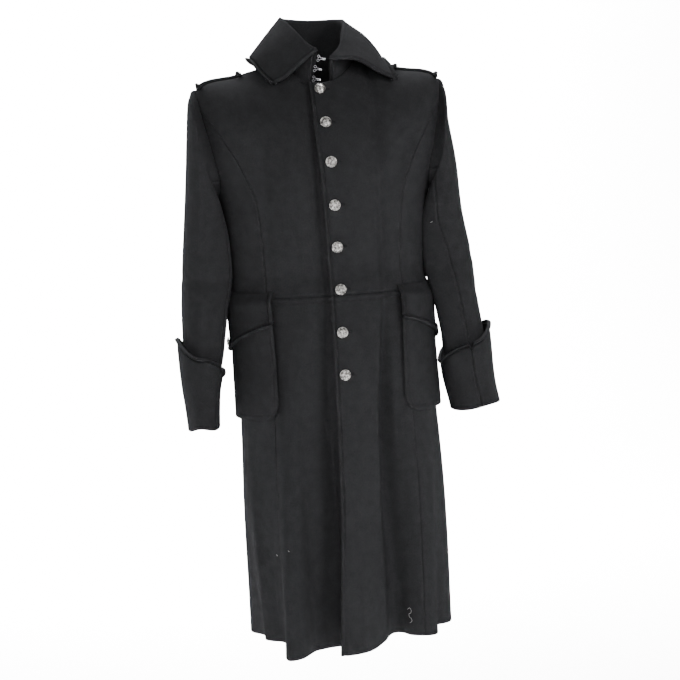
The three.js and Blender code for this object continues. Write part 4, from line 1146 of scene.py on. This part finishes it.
def buttonhole_parts(at, out):
    """Worked edge of a buttonhole: a corded loop round the slit, ribbed by its stitches."""
    n, side, up = plane(out)
    count, sides = 96, 8
    x, y = stadium(25, 3.0, count)
    mid = at + side * (x + 5.5)[:, None] + up * y[:, None] + n * 0.1
    way = unit(np.roll(mid, -1, 0) - np.roll(mid, 1, 0))
    wide = np.cross(n, way)
    ang = turns(sides)
    rib = 1 + 0.16 * np.cos(np.arange(count) * np.pi)
    ring = mid[:, None] + (wide[:, None] * np.cos(ang)[None, :, None] * 0.85
                           + n * np.sin(ang)[None, :, None] * 0.75) * rib[:, None, None]
    points = ring.reshape(-1, 3)
    quads = grid_quads(count + 1, sides, 0, True) % (count * sides)
    return points, outward(points, quads), NO_TRIS


def hook_line():
    """A dress hook's wire in its own plane: ring, arm to the bill, back, second ring (along, up, out)."""
    ring = [(-1.6 - 2.1 * np.sin(a * RAD), 3.7 - 2.1 * np.cos(a * RAD), -0.2) for a in np.linspace(-70, 255, 12)]
    arm = [(2.6, 1.5, 0.2), (5.5, 1.35, 0.4), (9.0, 1.2, 1.2), (10.6, 1.0, 2.4), (10.2, 0.95, 3.6), (7.4, 0.9, 3.9),
           (5.4, 0.8, 3.6), (4.8, 0, 3.5)]
    half = ring + arm
    path = np.array(half + [(x, -y, z) for x, y, z in half[-2::-1]])
    return along(path, 140)


# ---------------------------------------------------------------- operators
class COAT_OT_bodice(bpy.types.Operator):
    """Cuts the bodice: two fronts, two sides and the back"""

    bl_idname = "coat.bodice"
    bl_label = "Bodice"

    def execute(self, context):
        for side, word in SIDES:
            cut(f"front_{word}", front_grid(side), [])
        cut("back_bodice", back_grid(), [])
        for side, word in SIDES:
            cut(f"side_bodice_{word}", side_grid(side), [])
        return {"FINISHED"}


class COAT_OT_skirt(bpy.types.Operator):
    """Cuts the skirt: two fronts, two sides and the back, with their folds"""

    bl_idname = "coat.skirt"
    bl_label = "Skirt"

    def execute(self, context):
        for name, grid in skirt_grids().items():
            cut(name, grid, ["cloth_back_bodice"])
        return {"FINISHED"}


class COAT_OT_sleeves(bpy.types.Operator):
    """Cuts the two-piece sleeves"""

    bl_idname = "coat.sleeves"
    bl_label = "Sleeves"

    def execute(self, context):
        for side, word in SIDES:
            for part, under, width in (("top", False, 240), ("under", True, 160)):
                cut(f"sleeve_{part}_{word}", sleeve_grid(side, under, width), [f"cloth_side_bodice_{word}"])
        return {"FINISHED"}


class COAT_OT_cuffs(bpy.types.Operator):
    """Cuts the turned-back cuffs"""

    bl_idname = "coat.cuffs"
    bl_label = "Cuffs"

    def execute(self, context):
        for side, word in SIDES:
            cut(f"cuff_{word}", cuff_grid(side), [f"cloth_sleeve_top_{word}"])
        return {"FINISHED"}


class COAT_OT_collar(bpy.types.Operator):
    """Makes the collar, stand and leaf turned over one fold"""

    bl_idname = "coat.collar"
    bl_label = "Collar"

    def execute(self, context):
        thick = context.scene.coat_sizes.cloth / MM * 1.25
        cut("collar", collar_grid(), ["cloth_back_bodice"], "collar_stand", "collar_leaf", thick=thick)
        return {"FINISHED"}


class COAT_OT_pockets(bpy.types.Operator):
    """Makes the hip pockets and their pointed flaps"""

    bl_idname = "coat.pockets"
    bl_label = "Pockets"

    def execute(self, context):
        for side, word in SIDES:
            hung = [f"cloth_skirt_side_{word}"]
            cut(f"pocket_{word}", pocket_grid(side), hung, thick=1.6)
            cut(f"pocket_flap_{word}", flap_grid(side), hung)
        return {"FINISHED"}


class COAT_OT_straps(bpy.types.Operator):
    """Makes the shoulder straps and their keepers"""

    bl_idname = "coat.straps"
    bl_label = "Shoulder straps"

    def execute(self, context):
        for side, word in SIDES:
            strap = strap_grid(side, *STRAP["rings"], STRAP, ("edge", "edge", "edge", "seam"))
            cut(f"shoulder_strap_{word}", strap, [f"cloth_front_{word}"], thick=STRAP["thick"])
            for part, ring in KEEPERS:
                bar = strap_grid(side, ring - KEEPER["long"], ring + KEEPER["long"], KEEPER, ("hem",) * 4, 1.2)
                cut(f"strap_keeper_{part}_{word}", bar, [f"cloth_shoulder_strap_{word}"], thick=KEEPER["thick"])
        return {"FINISHED"}


class COAT_OT_buttons(bpy.types.Operator):
    """Turns the metal buttons and works their buttonholes"""

    bl_idname = "coat.buttons"
    bl_label = "Buttons"

    def execute(self, context):
        sizes = context.scene.coat_sizes
        metal, radius = pewter(sizes.metal), sizes.button / MM
        places = button_places()
        for i, (at, out) in enumerate(places, 1):
            trim(f"metal_front_button_{i}", [button_parts(at, out, radius)], metal, "button_metal",
                 f"front_button_{i}")
        for side, word in SIDES:
            at, out = pocket_button_place(side)
            trim(f"metal_pocket_button_{word}", [button_parts(at, out, radius)], metal, "button_metal",
                 f"pocket_button_{word}")
        trim("buttonholes", [buttonhole_parts(at, out) for at, out in places], black_thread(), "wool_cloth")
        return {"FINISHED"}


class COAT_OT_hooks(bpy.types.Operator):
    """Bends the three wire hooks on the collar's stand"""

    bl_idname = "coat.hooks"
    bl_label = "Collar hooks"

    def execute(self, context):
        wire = plain("Bright wire", (0.20, 0.20, 0.21), 0.30, 1.0)
        path = hook_line()
        for i, (part, move) in enumerate(HOOKS, 1):
            f, s = np.array([[0.0]]), np.array([[part * STAND_PART]])
            at = collar_place(f, s)[0, 0]
            up = unit(at - collar_place(f, s - 0.02)[0, 0])
            across = unit(np.array([1.0, 0.0, 0.0]) - up * up[0])
            line = at + np.array(move) + path @ np.array([across, up, np.cross(across, up)])
            trim(f"metal_collar_hook_{i}", [tube(line, 0.5, 10)], wire, "hook_wire", f"collar_hook_{i}")
        return {"FINISHED"}


class COAT_OT_sewing(bpy.types.Operator):
    """Sews the stitch rows along the front edges, the waist, the collar, the pocket flaps and the cuffs"""

    bl_idname = "coat.sewing"
    bl_label = "Sewing"

    def execute(self, context):
        length = context.scene.coat_sizes.stitch / MM
        rows = []

        def sew(grid, side, gap=5.4, ends=(0.0, 1.0)):
            rows.append(stitches(line_on(grid, side, gap, ends), length, len(rows)))
        sew(front_grid(1), 0, 7.2)
        skirts = skirt_grids()
        sew(skirts["skirt_front_left"], 0, 7.2)
        for grid in skirts.values():
            sew(grid, 2, 11.0)
        collar = collar_grid()
        sew(collar, 3)
        for edge in (0, 1):
            sew(collar, edge, ends=(0.5, 1.0))
        for side, _ in SIDES:
            sew(cuff_grid(side), 2)
            flap = flap_grid(side)
            for edge in (0, 1, 3):
                sew(flap, edge)
        trim("stitch_rows", rows, black_thread(), "wool_cloth")
        return {"FINISHED"}


class COAT_OT_lint(bpy.types.Operator):
    """Lays the few flecks of lint and the loose grey thread on the cloth"""

    bl_idname = "coat.lint"
    bl_label = "Lint"

    def execute(self, context):
        def on_cloth(deg, ring):
            p = body(deg, ring)
            high = creases(p, 1) * (deg > 0) + creases(p, 2) * (deg < 0)
            return above(deg, ring, high + lap(x_at(deg, ring), ring) * (deg > -8) + 1.1)

        t = np.linspace(-0.5, 0.5, 7)
        lines = [on_cloth(deg + t * length / 3.3, ring + 0.004 * np.sin(t * 5)) for deg, ring, length in LINT]
        deg, ring, length = SLEEVE_LINT
        line = sleeve_point(1, deg + t * length, ring + 0.01 * t)
        lines.append(line + unit(line - sleeve_mid(1, ring)) * 2.4)
        parts = [tube(line, LINT_SIZE, 6) for line in lines]
        path = along(THREAD, 90)
        parts.append(tube(on_cloth(path[:, 0], path[:, 1]), THREAD_SIZE, 6))
        trim("lint_and_thread", parts, plain("Grey lint", (0.20, 0.20, 0.20), 0.9), "wool_cloth")
        return {"FINISHED"}


class COAT_OT_stage(bpy.types.Operator):
    """Sets the pale floor and its sweep, the soft lights and the camera"""

    bl_idname = "coat.stage"
    bl_label = "Stage"

    def execute(self, context):
        turn = np.linspace(0, np.pi / 2, 24)
        bend, radius, half = SWEEP["bend"], SWEEP["radius"], SWEEP["half"]
        y = np.concatenate([[SWEEP["front"]], bend + radius * np.sin(turn), [bend + radius]])
        z = np.concatenate([[0.0], radius - radius * np.cos(turn), [SWEEP["high"]]]) + SWEEP["floor"]
        points = np.stack([np.repeat([-half, half], len(y)), np.tile(y, 2), np.tile(z, 2)], -1) / MM
        pale = plain("Pale stage", (0.93, 0.93, 0.93), 0.9)
        build("stage_sweep", points, grid_quads(2, len(y))[:, ::-1], NO_TRIS, pale)
        world = bpy.data.worlds.new("Studio")
        world.use_nodes = True
        light = world.node_tree.nodes["Background"].inputs
        light["Color"].default_value, light["Strength"].default_value = (1, 1, 1, 1), 0.13
        context.scene.world = world
        for name, place, target, size, power in LAMPS:
            lamp = bpy.data.lights.new(name, "AREA")
            lamp.shape, lamp.size, lamp.energy = "SQUARE", size, power
            obj = bpy.data.objects.new(name, lamp)
            obj.location = place
            obj.rotation_euler = (Vector(target) - Vector(place)).to_track_quat("-Z", "Y").to_euler()
            context.collection.objects.link(obj)
        camera = bpy.data.cameras.new("Camera")
        camera.sensor_width, camera.lens, camera.shift_x = 36.0, 78.04, 0.0118
        away, round_by, roll = 2.8, -6 * RAD, 3.3 * RAD
        eye = np.array([np.sin(round_by) * away, -np.cos(round_by) * away, -0.23])
        ahead = unit(np.array([0, 0, -0.524]) - eye)
        right = unit(np.cross(ahead, UP))
        up = np.cross(right, ahead)
        turned = (right * np.cos(roll) - up * np.sin(roll), right * np.sin(roll) + up * np.cos(roll), -ahead, eye)
        obj = bpy.data.objects.new("Camera", camera)
        obj.matrix_world = Matrix([*np.array(turned).T.tolist(), [0, 0, 0, 1]])
        context.collection.objects.link(obj)
        context.scene.camera = obj
        return {"FINISHED"}


class COAT_PT_panel(bpy.types.Panel):
    """Lists the coat's sizes and pieces"""

    bl_label = "Overcoat"
    bl_idname = "COAT_PT_panel"
    bl_space_type = "VIEW_3D"
    bl_region_type = "UI"
    bl_category = "Coat"

    def draw(self, context):
        sizes = context.scene.coat_sizes
        for name in ("cloth", "step", "ridge", "stitch", "button", "wool", "metal"):
            self.layout.prop(sizes, name)
        for piece in PIECES:
            self.layout.operator(piece.bl_idname)


PIECES = (
    COAT_OT_bodice, COAT_OT_skirt, COAT_OT_sleeves, COAT_OT_cuffs, COAT_OT_collar, COAT_OT_pockets,
    COAT_OT_straps, COAT_OT_buttons, COAT_OT_hooks, COAT_OT_sewing, COAT_OT_lint, COAT_OT_stage,
)
CLASSES = (CoatSizes, *PIECES, COAT_PT_panel)


def register():
    for c in CLASSES:
        bpy.utils.register_class(c)
    bpy.types.Scene.coat_sizes = bpy.props.PointerProperty(type=CoatSizes)


def unregister():
    del bpy.types.Scene.coat_sizes
    for c in reversed(CLASSES):
        bpy.utils.unregister_class(c)


def main():
    register()
    for piece in PIECES:
        group, word = piece.bl_idname.split(".")
        getattr(getattr(bpy.ops, group), word)()


if __name__ == "__main__":
    main()
